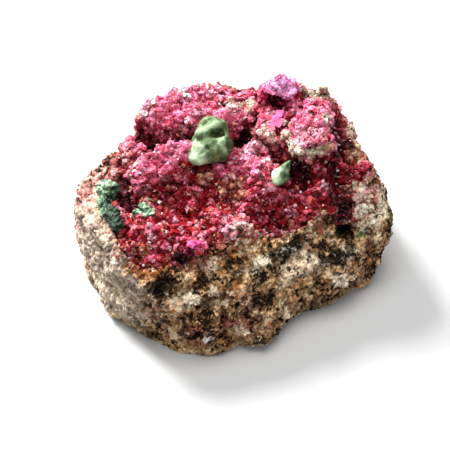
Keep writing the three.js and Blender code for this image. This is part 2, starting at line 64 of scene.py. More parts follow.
class Tone(Enum):
    """The specimen's colours, as display red, green and blue from 0 to 255."""

    ROSE = (144, 28, 38)
    LIGHT_ROSE = (255, 134, 168)
    PALE_PINK = (246, 188, 202)
    HOT_PINK = (236, 74, 140)
    VIOLET_PINK = (255, 172, 220)
    ORCHID = (222, 112, 170)
    CRIMSON = (140, 8, 22)
    RED = (196, 24, 48)
    MAROON = (30, 2, 4)
    BROWN_ROSE = (176, 112, 102)
    DUSTY_ROSE = (204, 150, 142)
    CREAM = (236, 222, 198)
    WHITE = (250, 242, 238)
    TAN = (212, 180, 138)
    BUFF = (186, 170, 156)
    BROWN = (172, 136, 102)
    DARK_BROWN = (80, 52, 30)
    OCHRE = (182, 120, 62)
    RUSTY_ROSE = (150, 92, 78)
    OLIVE = (122, 112, 72)
    SAGE = (166, 166, 138)
    BLACK = (20, 17, 13)
    DARK_GREEN = (14, 34, 20)
    MALACHITE = (58, 92, 62)
    PALE_MALACHITE = (176, 204, 170)
    KOLWEZITE = (100, 120, 84)
    PALE_KOLWEZITE = (196, 218, 184)
    OLIVE_KOLWEZITE = (42, 44, 16)

    def linear(self) -> np.ndarray:
        """Gives the tone as linear red, green and blue from 0 to 1, by the sRGB curve."""
        share = np.array(self.value, float) / 255
        return np.where(share <= 0.04045, share / 12.92, ((share + 0.055) / 1.055) ** 2.4)

    def rgba(self) -> tuple[float, float, float, float]:
        """Gives the tone as a shader colour."""
        return (*self.linear().tolist(), 1.0)


# ---- Noise ----


# Odd factors that mix the numbers of a lattice cell and a seed, and the masks that cut them.
AXIS_FACTORS = (0x9E3779B185EBCA87, 0xC2B2AE3D27D4EB4F, 0x165667B19E3779F9)
SEED_FACTOR = 0x27D4EB2F165667C5
LAST_FACTOR = 0xBF58476D1CE4E5B9
ALL_BITS = 0xFFFFFFFFFFFFFFFF
TWENTY_BITS = 0xFFFFF

# Brings smooth noise to about -1 to 1.
NOISE_GAIN = 1.5

# How far apart the patterns of two seeds lie, in lumps of smooth noise and in cells.
LUMP_STEP = 31.7
CELL_STEP = 17.9


def lattice_numbers(cells: np.ndarray, seed: int) -> np.ndarray:
    """Gives repeatable numbers from 0 to 1 for the cells of a lattice.

    Args:
        cells: Whole cell numbers, one row of three for each cell.
        seed: Chooses one of many sets of numbers.

    Returns:
        Three numbers for each cell.
    """
    mixed = np.full(cells.shape[:-1], seed * SEED_FACTOR & ALL_BITS, np.uint64)
    for axis, factor in enumerate(AXIS_FACTORS):
        mixed ^= cells[..., axis].astype(np.uint64) * np.uint64(factor)
    mixed ^= mixed >> np.uint64(29)
    mixed *= np.uint64(LAST_FACTOR)
    mixed ^= mixed >> np.uint64(32)
    parts = [(mixed >> np.uint64(shift)) & np.uint64(TWENTY_BITS) for shift in (0, 20, 40)]
    return np.stack(parts, axis=-1).astype(float) / TWENTY_BITS


def smooth_noise(points: np.ndarray, size: float, seed: int = 0) -> np.ndarray:
    """Gives smooth noise that changes over the given size.

    Args:
        points: Places in millimetres.
        size: Typical width of a lump of the noise, in millimetres.
        seed: Chooses one of many patterns.

    Returns:
        A value of about -1 to 1 for each place.
    """
    place = points / size + LUMP_STEP * seed
    cell = np.floor(place).astype(np.int64)
    inside = place - cell
    ease = inside**3 * (inside * (inside * 6 - 15) + 10)
    total = np.zeros(len(points))
    for corner in product((0, 1), repeat=3):
        offset = np.array(corner)
        gradient = lattice_numbers(cell + offset, seed) * 2 - 1
        weight = np.prod(np.where(offset == 1, ease, 1 - ease), axis=1)
        total += weight * np.sum(gradient * (inside - offset), axis=1)
    return total * NOISE_GAIN


def cell_noise(points: np.ndarray, size: float, seed: int = 0) -> tuple[np.ndarray, np.ndarray]:
    """Splits space into irregular cells, as grains in a rock.

    Args:
        points: Places in millimetres.
        size: Typical width of a cell, in millimetres.
        seed: Chooses one of many patterns.

    Returns:
        The distances to the nearest and the second cell middle, in cell widths.
    """
    place = points / size + CELL_STEP * seed
    cell = np.floor(place).astype(np.int64)
    nearest = np.full(len(points), np.inf)
    second = np.full(len(points), np.inf)
    for step in product((-1, 0, 1), repeat=3):
        neighbour = cell + np.array(step)
        distance = np.linalg.norm(neighbour + lattice_numbers(neighbour, seed) - place, axis=1)
        second = np.where(distance < nearest, nearest, np.minimum(second, distance))
        nearest = np.minimum(nearest, distance)
    return nearest, second


def ramp(values: np.ndarray, low: float, high: float) -> np.ndarray:
    """Gives 0 below low, 1 above high and an even ease between them."""
    share = np.clip((values - low) / (high - low), 0, 1)
    return share * share * (3 - 2 * share)


# ---- Marks of colour ----

# A mark is whole up to the first share of its half width and has ended at the second.
MARK_EDGE = (0.7, 1.25)

# How many patterns of ragged edges there are; each mark takes one by its name.
NAME_SEEDS = 97

# Widths in millimetres of the noises that make an edge ragged, and the finer one's share.
WANDER_SIZE = 1.6
FINE_WANDER_SIZE = 0.6
FINE_WANDER_SHARE = 0.6


@dataclass(frozen=True)
class Mark(ABC):
    """A soft edged mark of one tone.

    at is its middle, size its half widths and strength how much of the tone it lays on. ragged is
    how far its edge wanders.
    """

    name: str
    at: tuple[float, ...]
    size: tuple[float, float]
    tone: Tone
    strength: float = 0.8
    ragged: float = 0.5

    @abstractmethod
    def out(self, offset: np.ndarray) -> np.ndarray:
        """Gives how far out places lie: 0 in the mark's middle and 1 at its half widths."""

    def share(self, points: np.ndarray) -> np.ndarray:
        """Gives how much of the mark's tone lies at each place.

        Args:
            points: Places in millimetres.

        Returns:
            A share from 0 to 1 for each place.
        """
        seed = sum(map(ord, self.name)) % NAME_SEEDS
        wander = smooth_noise(points, WANDER_SIZE, seed)
        wander = wander + FINE_WANDER_SHARE * smooth_noise(points, FINE_WANDER_SIZE, seed)
        out = self.out(points - PLAN_ORIGIN) + self.ragged * wander
        return self.strength * (1 - ramp(out, *MARK_EDGE))


@dataclass(frozen=True)
class Patch(Mark):
    """A mark on all that lies above or below its place in plan, turned by some degrees."""

    turn: float = 0.0

    def out(self, offset: np.ndarray) -> np.ndarray:
        """Gives how far out places lie in plan.

        Args:
            offset: Places from the plan's origin, in millimetres.

        Returns:
            0 in the mark's middle and 1 at its half widths, for each place.
        """
        x = offset[:, 0] - self.at[0]
        y = offset[:, 1] - self.at[1]
        c, s = math.cos(math.radians(self.turn)), math.sin(math.radians(self.turn))
        return np.hypot((x * c + y * s) / self.size[0], (y * c - x * s) / self.size[1])


@dataclass(frozen=True)
class Spot(Mark):
    """A mark about a place with a height: its size is its half width and its half height."""

    def out(self, offset: np.ndarray) -> np.ndarray:
        """Gives how far out places lie along the ground and in height."""
        across = np.hypot(offset[:, 0] - self.at[0], offset[:, 1] - self.at[1])
        return np.hypot(across / self.size[0], (offset[:, 2] - self.at[2]) / self.size[1])


def lay(colours: np.ndarray, tone: Tone, share: np.ndarray) -> np.ndarray:
    """Lays a tone over colours, each by its share."""
    return colours * (1 - share[:, None]) + tone.linear() * share[:, None]


def lay_marks(colours: np.ndarray, points: np.ndarray, marks: tuple[Mark, ...]) -> np.ndarray:
    """Lays marks over colours, one after another.

    Args:
        colours: Linear colours, one for each place.
        points: Places in millimetres.
        marks: The marks, the lowest first.

    Returns:
        The new colours.
    """
    for mark in marks:
        colours = lay(colours, mark.tone, mark.share(points))
    return colours


# Width of the finer noise in a cloud's edge, by the cloud's width, and its share.
FINE_CLOUD_SIZE = 0.25
FINE_CLOUD_SHARE = 0.5


@dataclass(frozen=True)
class Cloud:
    """A tone that lies in ragged clouds all over a growth.

    size is how wide they are in millimetres. They fade in from low to high of a noise, up to most.
    """

    tone: Tone
    size: float
    seed: int
    low: float
    high: float
    most: float


def lay_clouds(colours: np.ndarray, points: np.ndarray, clouds: tuple[Cloud, ...]) -> np.ndarray:
    """Lays clouds of tones over colours, one after another.

    Args:
        colours: Linear colours, one for each place.
        points: Places in millimetres.
        clouds: The clouds, the lowest first.

    Returns:
        The new colours.
    """
    for cloud in clouds:
        noise = smooth_noise(points, cloud.size, cloud.seed)
        noise = noise + FINE_CLOUD_SHARE * smooth_noise(points, cloud.size * FINE_CLOUD_SIZE, cloud.seed)
        colours = lay(colours, cloud.tone, cloud.most * ramp(noise, cloud.low, cloud.high))
    return colours


@dataclass(frozen=True)
class Fold:
    """A rounded crest or hollow along a line between two places on a growth.

    start and end are its ends, width its half width and rise how far it stands out, below 0 in a
    hollow. Ends without a height make an upright fold, which runs from top to bottom.
    """

    name: str
    start: tuple[float, ...]
    end: tuple[float, ...]
    width: float
    rise: float

    def height(self, points: np.ndarray) -> np.ndarray:
        """Gives how far the fold moves the skin out at each place.

        Args:
            points: Places in millimetres.

        Returns:
            A height in millimetres for each place.
        """
        ways = len(self.start)
        offset = points[:, :ways] - np.array(self.start) - PLAN_ORIGIN[:ways]
        along = np.array(self.end) - np.array(self.start)
        share = np.clip(offset @ along / (along @ along), 0, 1)
        distance = np.linalg.norm(offset - share[:, None] * along, axis=1)
        return self.rise * np.exp(-((distance / self.width) ** 2))


def folded(points: np.ndarray, folds: tuple[Fold, ...]) -> np.ndarray:
    """Gives how far all of the folds together move the skin out at each place."""
    return sum((fold.height(points) for fold in folds), np.zeros(len(points)))


@dataclass
class HeightMap:
    """Heights of an upper face on a square grid in plan, to tell crests from hollows.

    A place is at the face's rim where less than outer of the grid about it is filled, and well
    inside where more than inner of it is.
    """

    points: np.ndarray
    pitch: float = 0.5
    outer: float = 0.72
    inner: float = 0.95
    corner: np.ndarray = field(init=False)
    last: np.ndarray = field(init=False)
    grid: np.ndarray = field(init=False)
    filled: np.ndarray = field(init=False)

    def __post_init__(self) -> None:
        """Fills the grid with the highest point of each cell, and 0 where there is none."""
        self.corner = self.points[:, :2].min(axis=0)
        self.last = np.ceil((self.points[:, :2].max(axis=0) - self.corner) / self.pitch).astype(int)
        heights = np.full(self.last + 1, -np.inf)
        np.maximum.at(heights, self.cells(self.points), self.points[:, 2])
        self.filled = np.isfinite(heights)
        self.grid = np.where(self.filled, heights, 0.0)

    def cells(self, points: np.ndarray) -> tuple[np.ndarray, np.ndarray]:
        """Gives the column and row of the cells that places lie in."""
        cell = np.round((points[:, :2] - self.corner) / self.pitch).astype(int)
        return tuple(np.clip(cell, 0, self.last).T)

    def top(self, points: np.ndarray) -> np.ndarray:
        """Gives the height of the face above or below places."""
        return self.grid[self.cells(points)]

    def blurred(self, values: np.ndarray, reach: float) -> np.ndarray:
        """Spreads the values of cells over their neighbours.

        Args:
            values: One value for each cell.
            reach: How far they are spread, in millimetres.

        Returns:
            The mean about each cell, where what lies off the grid counts as 0.
        """
        steps = np.arange(-round(2 * reach / self.pitch), round(2 * reach / self.pitch) + 1)
        kernel = np.exp(-((steps * self.pitch / reach) ** 2))
        for axis in (0, 1):
            values = np.apply_along_axis(np.convolve, axis, values, kernel / kernel.sum(), mode="same")
        return values

    def over_ground(self, points: np.ndarray, reach: float) -> np.ndarray:
        """Gives how high places stand over the mean of the ground about them.

        Args:
            points: Places in millimetres.
            reach: How far about them the ground counts, in millimetres.

        Returns:
            A height in millimetres for each place, below 0 in a hollow.
        """
        share = np.maximum(self.blurred(self.filled.astype(float), reach), 1e-6)
        mean = self.blurred(self.grid, reach) / share
        return points[:, 2] - mean[self.cells(points)]

    def inside(self, points: np.ndarray, reach: float) -> np.ndarray:
        """Gives 1 for places well inside the face and 0 for those at its rim."""
        share = self.blurred(self.filled.astype(float), reach)
        return ramp(share[self.cells(points)], self.outer, self.inner)


# ---- Meshes ----


# The name that colours are stored under on a mesh.
STORED_TONE = "tone"

# Distance between the places that nearness to a solid is measured from, in millimetres.
MEASURE_PITCH = 0.8


def read_rows(items: bpy.types.bpy_prop_collection, name: str, kind: type) -> np.ndarray:
    """Reads three numbers from each of a mesh's items.

    Args:
        items: The items.
        name: What the numbers are called.
        kind: What kind of numbers they are.

    Returns:
        One row of three for each item.
    """
    flat = np.empty(len(items) * 3, kind)
    items.foreach_get(name, flat)
    return flat.reshape(-1, 3)


def mesh_points(mesh: bpy.types.Mesh) -> np.ndarray:
    """Gives a mesh's vertices in millimetres."""
    return read_rows(mesh.vertices, "co", np.float32).astype(float) / MM


def mesh_normals(mesh: bpy.types.Mesh) -> np.ndarray:
    """Gives the normals of a mesh's vertices."""
    return read_rows(mesh.vertex_normals, "vector", np.float32).astype(float)


def place_points(mesh: bpy.types.Mesh, points: np.ndarray) -> None:
    """Moves a mesh's vertices to the given places in millimetres."""
    mesh.vertices.foreach_set("co", (points * MM).astype(np.float32).ravel())
    mesh.update()


def paint_points(mesh: bpy.types.Mesh, colours: np.ndarray, grain: np.ndarray | None = None) -> None:
    """Stores one linear colour for each vertex of a mesh.

    Args:
        mesh: The mesh.
        colours: Linear colours.
        grain: How strong the grain is there, from 0 to 1, kept as the colour's fourth part.
    """
    attribute = mesh.color_attributes.new(name=STORED_TONE, type="FLOAT_COLOR", domain="POINT")
    full = np.ones((len(colours), 4), np.float32)
    full[:, :3] = np.clip(colours, 0, 1)
    if grain is not None:
        full[:, 3] = np.clip(grain, 0, 1)
    attribute.data.foreach_set("color", full.ravel())


def nearness(points: np.ndarray, others: np.ndarray, reach: float) -> np.ndarray:
    """Gives how near places lie to a set of other places.

    Args:
        points: Places in millimetres.
        others: The other places in millimetres.
        reach: How far the nearness reaches, in millimetres.

    Returns:
        1 at the other places, falling to 0 at the reach.
    """
    tree = KDTree(len(others))
    for number, place in enumerate(others.tolist()):
        tree.insert(place, number)
    tree.balance()
    distance = np.array([tree.find(place)[2] for place in points.tolist()])
    return 1 - ramp(distance, 0, reach)


def finished_mesh(piece: bpy.types.Object) -> None:
    """Applies a piece's modifiers to its mesh.

    Args:
        piece: The piece.
    """
    evaluated = piece.evaluated_get(bpy.context.evaluated_depsgraph_get())
    shaped = bpy.data.meshes.new_from_object(evaluated)
    piece.modifiers.clear()
    piece.data = shaped


def refined_copy(node: str, name: str, pitch: float, smoothing: int) -> bpy.types.Object:
    """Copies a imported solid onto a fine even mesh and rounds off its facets.

    Args:
        node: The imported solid.
        name: The copy's name.
        pitch: Distance between the copy's vertices, in millimetres.
        smoothing: How many times its facets are rounded.

    Returns:
        The copy.
    """
    piece = bpy.data.objects.new(name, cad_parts[node].data.copy())
    bpy.context.scene.collection.objects.link(piece)
    remesh = piece.modifiers.new("even", "REMESH")
    remesh.mode = "VOXEL"
    remesh.voxel_size = pitch * MM
    if smoothing:
        smooth = piece.modifiers.new("round", "SMOOTH")
        smooth.iterations = smoothing
        smooth.factor = 0.5
    finished_mesh(piece)
    piece.data.materials.clear()
    return piece


def packed_points(node: str) -> np.ndarray:
    """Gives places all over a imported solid, close enough together to measure nearness from.

    Args:
        node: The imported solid.

    Returns:
        The places in millimetres.
    """
    copy = refined_copy(node, "measure", MEASURE_PITCH, 0)
    points = mesh_points(copy.data)
    bpy.data.meshes.remove(copy.data)
    return points


def joined_faces(name: str, points: np.ndarray, faces: np.ndarray) -> bpy.types.Object:
    """Makes one piece from many faces.

    Args:
        name: The piece's name.
        points: Vertices in millimetres.
        faces: Four vertex numbers for each face.

    Returns:
        The piece.
    """
    mesh = bpy.data.meshes.new(name)
    mesh.vertices.add(len(points))
    mesh.vertices.foreach_set("co", (points * MM).astype(np.float32).ravel())
    mesh.loops.add(faces.size)
    mesh.loops.foreach_set("vertex_index", faces.astype(np.int32).ravel())
    mesh.polygons.add(len(faces))
    mesh.polygons.foreach_set("loop_start", np.arange(0, faces.size, 4, dtype=np.int32))
    mesh.update(calc_edges=True)
    mesh.validate()
    piece = bpy.data.objects.new(name, mesh)
    bpy.context.scene.collection.objects.link(piece)
    return piece


def triangles_of(mesh: bpy.types.Mesh) -> np.ndarray:
    """Gives the vertex numbers of a mesh's triangles."""
    mesh.calc_loop_triangles()
    return read_rows(mesh.loop_triangles, "vertices", np.int32)


def settle(piece: bpy.types.Object, node: str, material: bpy.types.Material, smooth: bool) -> None:
    """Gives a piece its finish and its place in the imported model.

    Args:
        piece: The piece.
        node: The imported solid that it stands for.
        material: The finish.
        smooth: Whether its faces are shaded as one smooth surface.
    """
    piece.data.materials.append(material)
    piece.data.polygons.foreach_set("use_smooth", np.full(len(piece.data.polygons), smooth))
    piece.data.update()
    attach(piece, "root")
    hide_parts(node)
    LOG.info("%s: %d faces for %s", piece.name, len(piece.data.polygons), node)


# ---- Shaders ----


# Sockets of a Mix node for colours, by number, because their names repeat.
MIX_SHARE, MIX_UNDER, MIX_OVER, MIX_RESULT = 0, 6, 7, 2


class Stored(Enum):
    """What a mesh stores for each vertex, by the name of its output."""

    COLOUR = "Color"
    GRAIN = "Alpha"


class Numbers(Enum):
    """The sets of numbers that grains have, by the names of their outputs."""

    FIRST = "Red"
    SECOND = "Green"


class Mix(Enum):
    """How one colour is laid over another, by Blender's name for it."""

    COVER = "MIX"
    MULTIPLY = "MULTIPLY"


class Operation(Enum):
    """How two values are combined, by Blender's name for it."""

    ADD = "ADD"
    SUBTRACT = "SUBTRACT"


class Graph:
    """A material's nodes, with a short way to add and join them."""

    def __init__(self, name: str) -> None:
        """Starts a material with a plain shader.

        Args:
            name: The material's name.
        """
        self.material = bpy.data.materials.new(name)
        self.material.use_nodes = True
        self.tree = self.material.node_tree
        self.shader = self.tree.nodes["Principled BSDF"]
        self.place = self.tree.nodes.new("ShaderNodeTexCoord").outputs["Object"]

    def set(self, **values: float | tuple) -> None:
        """Sets the shader's own sockets, named with _ for a space."""
        for name, value in values.items():
            self.shader.inputs[name.replace("_", " ")].default_value = value

    def join(self, source: bpy.types.NodeSocket, target: bpy.types.NodeSocket) -> None:
        """Joins one socket to another."""
        self.tree.links.new(source, target)

    def stored(self, what: Stored = Stored.COLOUR) -> bpy.types.NodeSocket:
        """Adds a node that reads what is stored on the mesh.

        Args:
            what: The colours, or the strength of the grain.

        Returns:
            Its value at each place.
        """
        node = self.tree.nodes.new("ShaderNodeVertexColor")
        node.layer_name = STORED_TONE
        return node.outputs[what.value]

    def noise(self, size: float, detail: float = 2, rough: float = 0.5) -> bpy.types.NodeSocket:
        """Adds noise.

        Args:
            size: About how wide its lumps are, in millimetres.
            detail: How many times finer lumps are added.
            rough: How strong the finer ones are, next to the ones before.

        Returns:
            The noise, from 0 to 1.
        """
        node = self.tree.nodes.new("ShaderNodeTexNoise")
        self.join(self.place, node.inputs["Vector"])
        node.inputs["Scale"].default_value = 1 / (size * MM)
        node.inputs["Detail"].default_value = detail
        node.inputs["Roughness"].default_value = rough
        return node.outputs["Fac"]

    def cells(self, size: float, which: Numbers) -> bpy.types.NodeSocket:
        """Adds irregular grains, each with a number of its own.

        Args:
            size: About how wide they are, in millimetres.
            which: The set that the numbers are from.

        Returns:
            The numbers, from 0 to 1.
        """
        grains = self.tree.nodes.new("ShaderNodeTexVoronoi")
        self.join(self.place, grains.inputs["Vector"])
        grains.inputs["Scale"].default_value = 1 / (size * MM)
        node = self.tree.nodes.new("ShaderNodeSeparateColor")
        self.join(grains.outputs["Color"], node.inputs["Color"])
        return node.outputs[which.value]

    def between(self, source: bpy.types.NodeSocket, low: float, high: float,
                to_low: float = 0, to_high: float = 1) -> bpy.types.NodeSocket:
        """Maps one stretch of a value evenly onto another, and holds it at its ends.

        Args:
            source: The value.
            low: Where its stretch starts.
            high: Where its stretch ends.
            to_low: What the start becomes.
            to_high: What the end becomes.

        Returns:
            The new value.
        """
        node = self.tree.nodes.new("ShaderNodeMapRange")
        self.join(source, node.inputs["Value"])
        for name, value in (("From Min", low), ("From Max", high), ("To Min", to_low), ("To Max", to_high)):
            node.inputs[name].default_value = value
        return node.outputs["Result"]

    def blend(self, share: bpy.types.NodeSocket | float, under: bpy.types.NodeSocket | Tone,
              over: bpy.types.NodeSocket | Tone, mode: Mix = Mix.COVER) -> bpy.types.NodeSocket:
        """Lays one colour over another.

        Args:
            share: How much of the upper one is laid.
            under: The lower colour.
            over: The upper colour.
            mode: How they mix.

        Returns:
            The mixed colour.
        """
        node = self.tree.nodes.new("ShaderNodeMix")
        node.data_type = "RGBA"
        node.blend_type = mode.value
        for value, number in ((share, MIX_SHARE), (under, MIX_UNDER), (over, MIX_OVER)):
            socket = node.inputs[number]
            if isinstance(value, Tone):
                socket.default_value = value.rgba()
            elif isinstance(value, (int, float)):
                socket.default_value = value
            else:
                self.join(value, socket)
        return node.outputs[MIX_RESULT]

    def combine(self, operation: Operation, first: bpy.types.NodeSocket,
                second: bpy.types.NodeSocket | float) -> bpy.types.NodeSocket:
        """Adds a sum, product or the like of two values.

        Args:
            operation: How they are combined.
            first: The first value.
            second: The second value.

        Returns:
            What it comes to.
        """
        node = self.tree.nodes.new("ShaderNodeMath")
        node.operation = operation.value
        self.join(first, node.inputs[0])
        if isinstance(second, (int, float)):
            node.inputs[1].default_value = second
        else:
            self.join(second, node.inputs[1])
        return node.outputs[0]

    def bump(self, height: bpy.types.NodeSocket, depth: float, strength: float) -> None:
        """Bends the shader's normal by a height.

        Args:
            height: The height, from 0 to 1.
            depth: What a height of 1 stands for, in millimetres.
            strength: How much of it counts.
        """
        node = self.tree.nodes.new("ShaderNodeBump")
        node.inputs["Distance"].default_value = depth * MM
        node.inputs["Strength"].default_value = strength
        self.join(height, node.inputs["Height"])
        self.join(node.outputs["Normal"], self.shader.inputs["Normal"])


@dataclass(frozen=True)
class RockFinish:
    """Granular carbonate rock: stored tones, split into light and dark grains of two sizes."""

    grain: float = 0.4
    coarse: float = 0.95
    roughness: float = 0.85

    def material(self) -> bpy.types.Material:
        """Makes the material.

        Returns:
            The material.
        """
        g = Graph("host_rock_grains")
        grain = g.stored(Stored.GRAIN)
        plain = g.stored()
        fine = g.cells(self.grain, Numbers.FIRST)
        coarse = g.cells(self.coarse, Numbers.SECOND)
        clusters = g.between(g.noise(4.4, 3, 0.6), 0.38, 0.62, -0.1, 0.1)
        specks = g.combine(Operation.ADD, g.noise(1.0, 6, 0.72), clusters)
        flecks = g.combine(Operation.SUBTRACT, g.noise(1.3, 6, 0.72), clusters)
        colour = g.blend(1.0, plain, g.between(fine, 0.05, 0.95, 0.6, 1.4), Mix.MULTIPLY)
        colour = g.blend(1.0, colour, g.between(coarse, 0.0, 1.0, 0.75, 1.25), Mix.MULTIPLY)
        colour = g.blend(g.between(flecks, 0.58, 0.66, 0, 0.7), colour, Tone.CREAM)
        colour = g.blend(g.between(specks, 0.54, 0.59, 0, 0.95), colour, Tone.BLACK)
        g.join(g.blend(grain, plain, colour), g.shader.inputs["Base Color"])
        g.bump(g.noise(0.4, 5, 0.75), 0.3, 0.9)
        g.set(Roughness=self.roughness, IOR=1.5, Specular_IOR_Level=0.1)
        return g.material


@dataclass(frozen=True)
class SalroseFinish:
    """Pink crystals: stored tones with milky veils and deeper colour inside.

    shine is how strong the light's image in the faces is, and veils how milky they are.
    """

    name: str = "salrose_crystals"
    roughness: float = 0.34
    shine: float = 0.1
    veils: float = 0.25
    depth: float = 0.7

    def material(self) -> bpy.types.Material:
        """Makes the material.

        Returns:
            The material.
        """
        g = Graph(self.name)
        colour = g.stored()
        veils = g.between(g.noise(0.6, 3, 0.6), 0.54, 0.7, 0, self.veils)
        colour = g.blend(veils, colour, Tone.PALE_PINK)
        deep = g.between(g.noise(0.8, 3), 0.5, 0.36, 0, 0.45)
        colour = g.blend(deep, colour, Tone.CRIMSON)
        g.join(colour, g.shader.inputs["Base Color"])
        g.join(g.between(g.noise(0.5, 2), 0.35, 0.65, self.roughness, self.roughness + 0.25),
               g.shader.inputs["Roughness"])
        g.bump(g.noise(0.16, 3, 0.6), 0.07, 0.9)
        g.set(IOR=1.6, Specular_IOR_Level=self.shine, Subsurface_Weight=self.depth,
              Subsurface_Radius=(1.0, 0.3, 0.4), Subsurface_Scale=0.7 * MM)
        return g.material


@dataclass(frozen=True)
class KolweziteFinish:
    """Chalky pale green: stored tones, powdery, with fine pits."""

    roughness: float = 0.8

    def material(self) -> bpy.types.Material:
        """Makes the material.

        Returns:
            The material.
        """
        g = Graph("kolwezite_chalk")
        colour = g.stored()
        colour = g.blend(g.between(g.noise(0.9, 4, 0.6), 0.5, 0.75, 0, 0.4), colour, Tone.PALE_KOLWEZITE)
        colour = g.blend(g.between(g.noise(0.4, 3), 0.4, 0.28, 0, 0.4), colour, Tone.OLIVE_KOLWEZITE)
        g.join(colour, g.shader.inputs["Base Color"])
        g.bump(g.noise(0.25, 4, 0.65), 0.06, 0.8)
        g.set(Roughness=self.roughness, IOR=1.45, Specular_IOR_Level=0.2)
        return g.material


@dataclass(frozen=True)
class MalachiteFinish:
    """Fine grained malachite: stored tones, pale on the crests and dark between."""

    roughness: float = 0.55

    def material(self) -> bpy.types.Material:
        """Makes the material.

        Returns:
            The material.
        """
        g = Graph("malachite_grains")
        colour = g.stored()
        colour = g.blend(g.between(g.noise(0.7, 6, 0.75), 0.56, 0.63, 0, 0.7), colour, Tone.PALE_MALACHITE)
        colour = g.blend(g.between(g.noise(0.6, 6, 0.7), 0.5, 0.42, 0, 0.9), colour, Tone.DARK_GREEN)
        g.join(colour, g.shader.inputs["Base Color"])
        g.bump(g.noise(0.3, 4, 0.7), 0.12, 1.0)
        g.set(Roughness=self.roughness, IOR=1.6, Specular_IOR_Level=0.3)
        return g.material


@dataclass(frozen=True)
class FloorFinish:
    """A plain pale surface that glows a little, so that the shadow on it stays light."""

    tone: float = 0.45
    glow: float = 0.05
    roughness: float = 0.9

    def material(self) -> bpy.types.Material:
        """Makes the material.

        Returns:
            The material.
        """
        g = Graph("plain_floor")
        g.set(Base_Color=(self.tone, self.tone, self.tone, 1), Roughness=self.roughness,
              Emission_Color=(1, 1, 1, 1), Emission_Strength=self.glow)
        return g.material


# ---- Host rock ----


# The left end is paler than the rest, and its grain is weaker.
PALE_END = Patch("pale left end", (-39.5, 3.0), (12.5, 30.0), Tone.BUFF, 0.9, ragged=0.25)

# Regions of the rock that differ from its usual brown.
ROCK_MARKS = (
    PALE_END,
    Patch("dusty shoulder", (-25.0, 15.6), (6.0, 4.4), Tone.DUSTY_ROSE, 0.8, turn=-20),
    Patch("darker back", (2.0, 27.0), (42.0, 9.0), Tone.DARK_BROWN, 0.6, ragged=0.3, turn=-14),
    # Painted shade: black in the groove on the right.
    Spot("dark groove", (15.9, -17.0, 19.8), (1.3, 2.6), Tone.BLACK, 0.95),
    Spot("cream right corner", (23.0, -17.4, 19.0), (4.4, 3.4), Tone.CREAM, 0.8),
    # Painted shadow: black under the druse's overhanging edge.
    Spot("notch under the druse", (-18.8, -11.6, 20.6), (2.2, 0.9), Tone.BLACK, 0.95),
    Spot("pale right end", (30.0, -4.0, 22.0), (8.0, 6.0), Tone.BUFF, 0.8),
    Spot("olive right corner", (27.0, -16.0, 14.0), (5.0, 5.0), Tone.OLIVE, 0.5),
    Spot("ochre under the druse", (-26.0, -11.5, 20.5), (5.5, 1.5), Tone.OCHRE, 0.8),
    Spot("ochre at the corner", (-24.5, -16.8, 13.5), (1.8, 1.2), Tone.OCHRE, 0.7),
    Spot("rusty foot", (-12.0, -24.0, 8.5), (4.5, 1.6), Tone.RUSTY_ROSE, 0.7),
    Spot("rusty left foot", (-21.0, -21.0, 8.0), (2.4, 2.0), Tone.RUSTY_ROSE, 0.6),
    Spot("dark left patch", (-25.0, -13.5, 18.0), (2.6, 2.0), Tone.BLACK, 0.85),
    Spot("dark band under the bowl", (2.5, -17.4, 18.2), (5.0, 1.5), Tone.BLACK, 0.9),
    Spot("dark band on the right", (11.5, -21.8, 12.8), (5.0, 1.7), Tone.BLACK, 0.9),
    Spot("dark streak at the left", (-17.0, -18.5, 14.0), (3.0, 1.4), Tone.BLACK, 0.7),
    Spot("dark streak in the middle", (-8.0, -22.0, 12.0), (4.0, 1.2), Tone.BLACK, 0.6),
    Spot("large cream patch", (3.0, -21.0, 14.2), (4.4, 3.0), Tone.CREAM, 0.6),
    Spot("small cream patch", (-4.2, -18.4, 17.5), (1.8, 1.4), Tone.CREAM, 0.9),
    Spot("cream patch on the right", (11.5, -24.4, 9.0), (2.2, 1.4), Tone.CREAM, 0.8),
    Spot("cream fleck at the left", (-20.5, -17.6, 15.6), (2.0, 1.0), Tone.CREAM, 0.9),
    Spot("cream fleck at the foot", (-19.3, -22.2, 5.5), (1.4, 0.9), Tone.WHITE, 0.9),
    Spot("pale left foot", (-31.0, -5.0, 8.0), (9.0, 6.0), Tone.CREAM, 0.5),
    Spot("cream right rim", (21.3, -18.3, 17.6), (3.4, 2.0), Tone.CREAM, 0.8),
    Spot("green stain", (18.6, -20.4, 15.6), (1.6, 1.0), Tone.MALACHITE, 0.9),
    # Painted shade: black at the groove's foot.
    Spot("dark foot of the groove", (14.8, -18.4, 16.6), (1.7, 1.3), Tone.BLACK, 0.9),
)

# Tones that lie in clouds all over the rock.
ROCK_CLOUDS = (
    Cloud(Tone.TAN, 2.6, 11, 0.0, 0.3, 0.85),
    Cloud(Tone.DARK_BROWN, 2.4, 12, 0.1, 0.35, 0.8),
    Cloud(Tone.CREAM, 3.4, 13, 0.36, 0.52, 0.7),
    Cloud(Tone.OCHRE, 3.4, 14, 0.3, 0.5, 0.35),
    Cloud(Tone.BLACK, 2.4, 15, 0.3, 0.45, 0.7),
    Cloud(Tone.RUSTY_ROSE, 3.2, 16, 0.3, 0.5, 0.5),
)

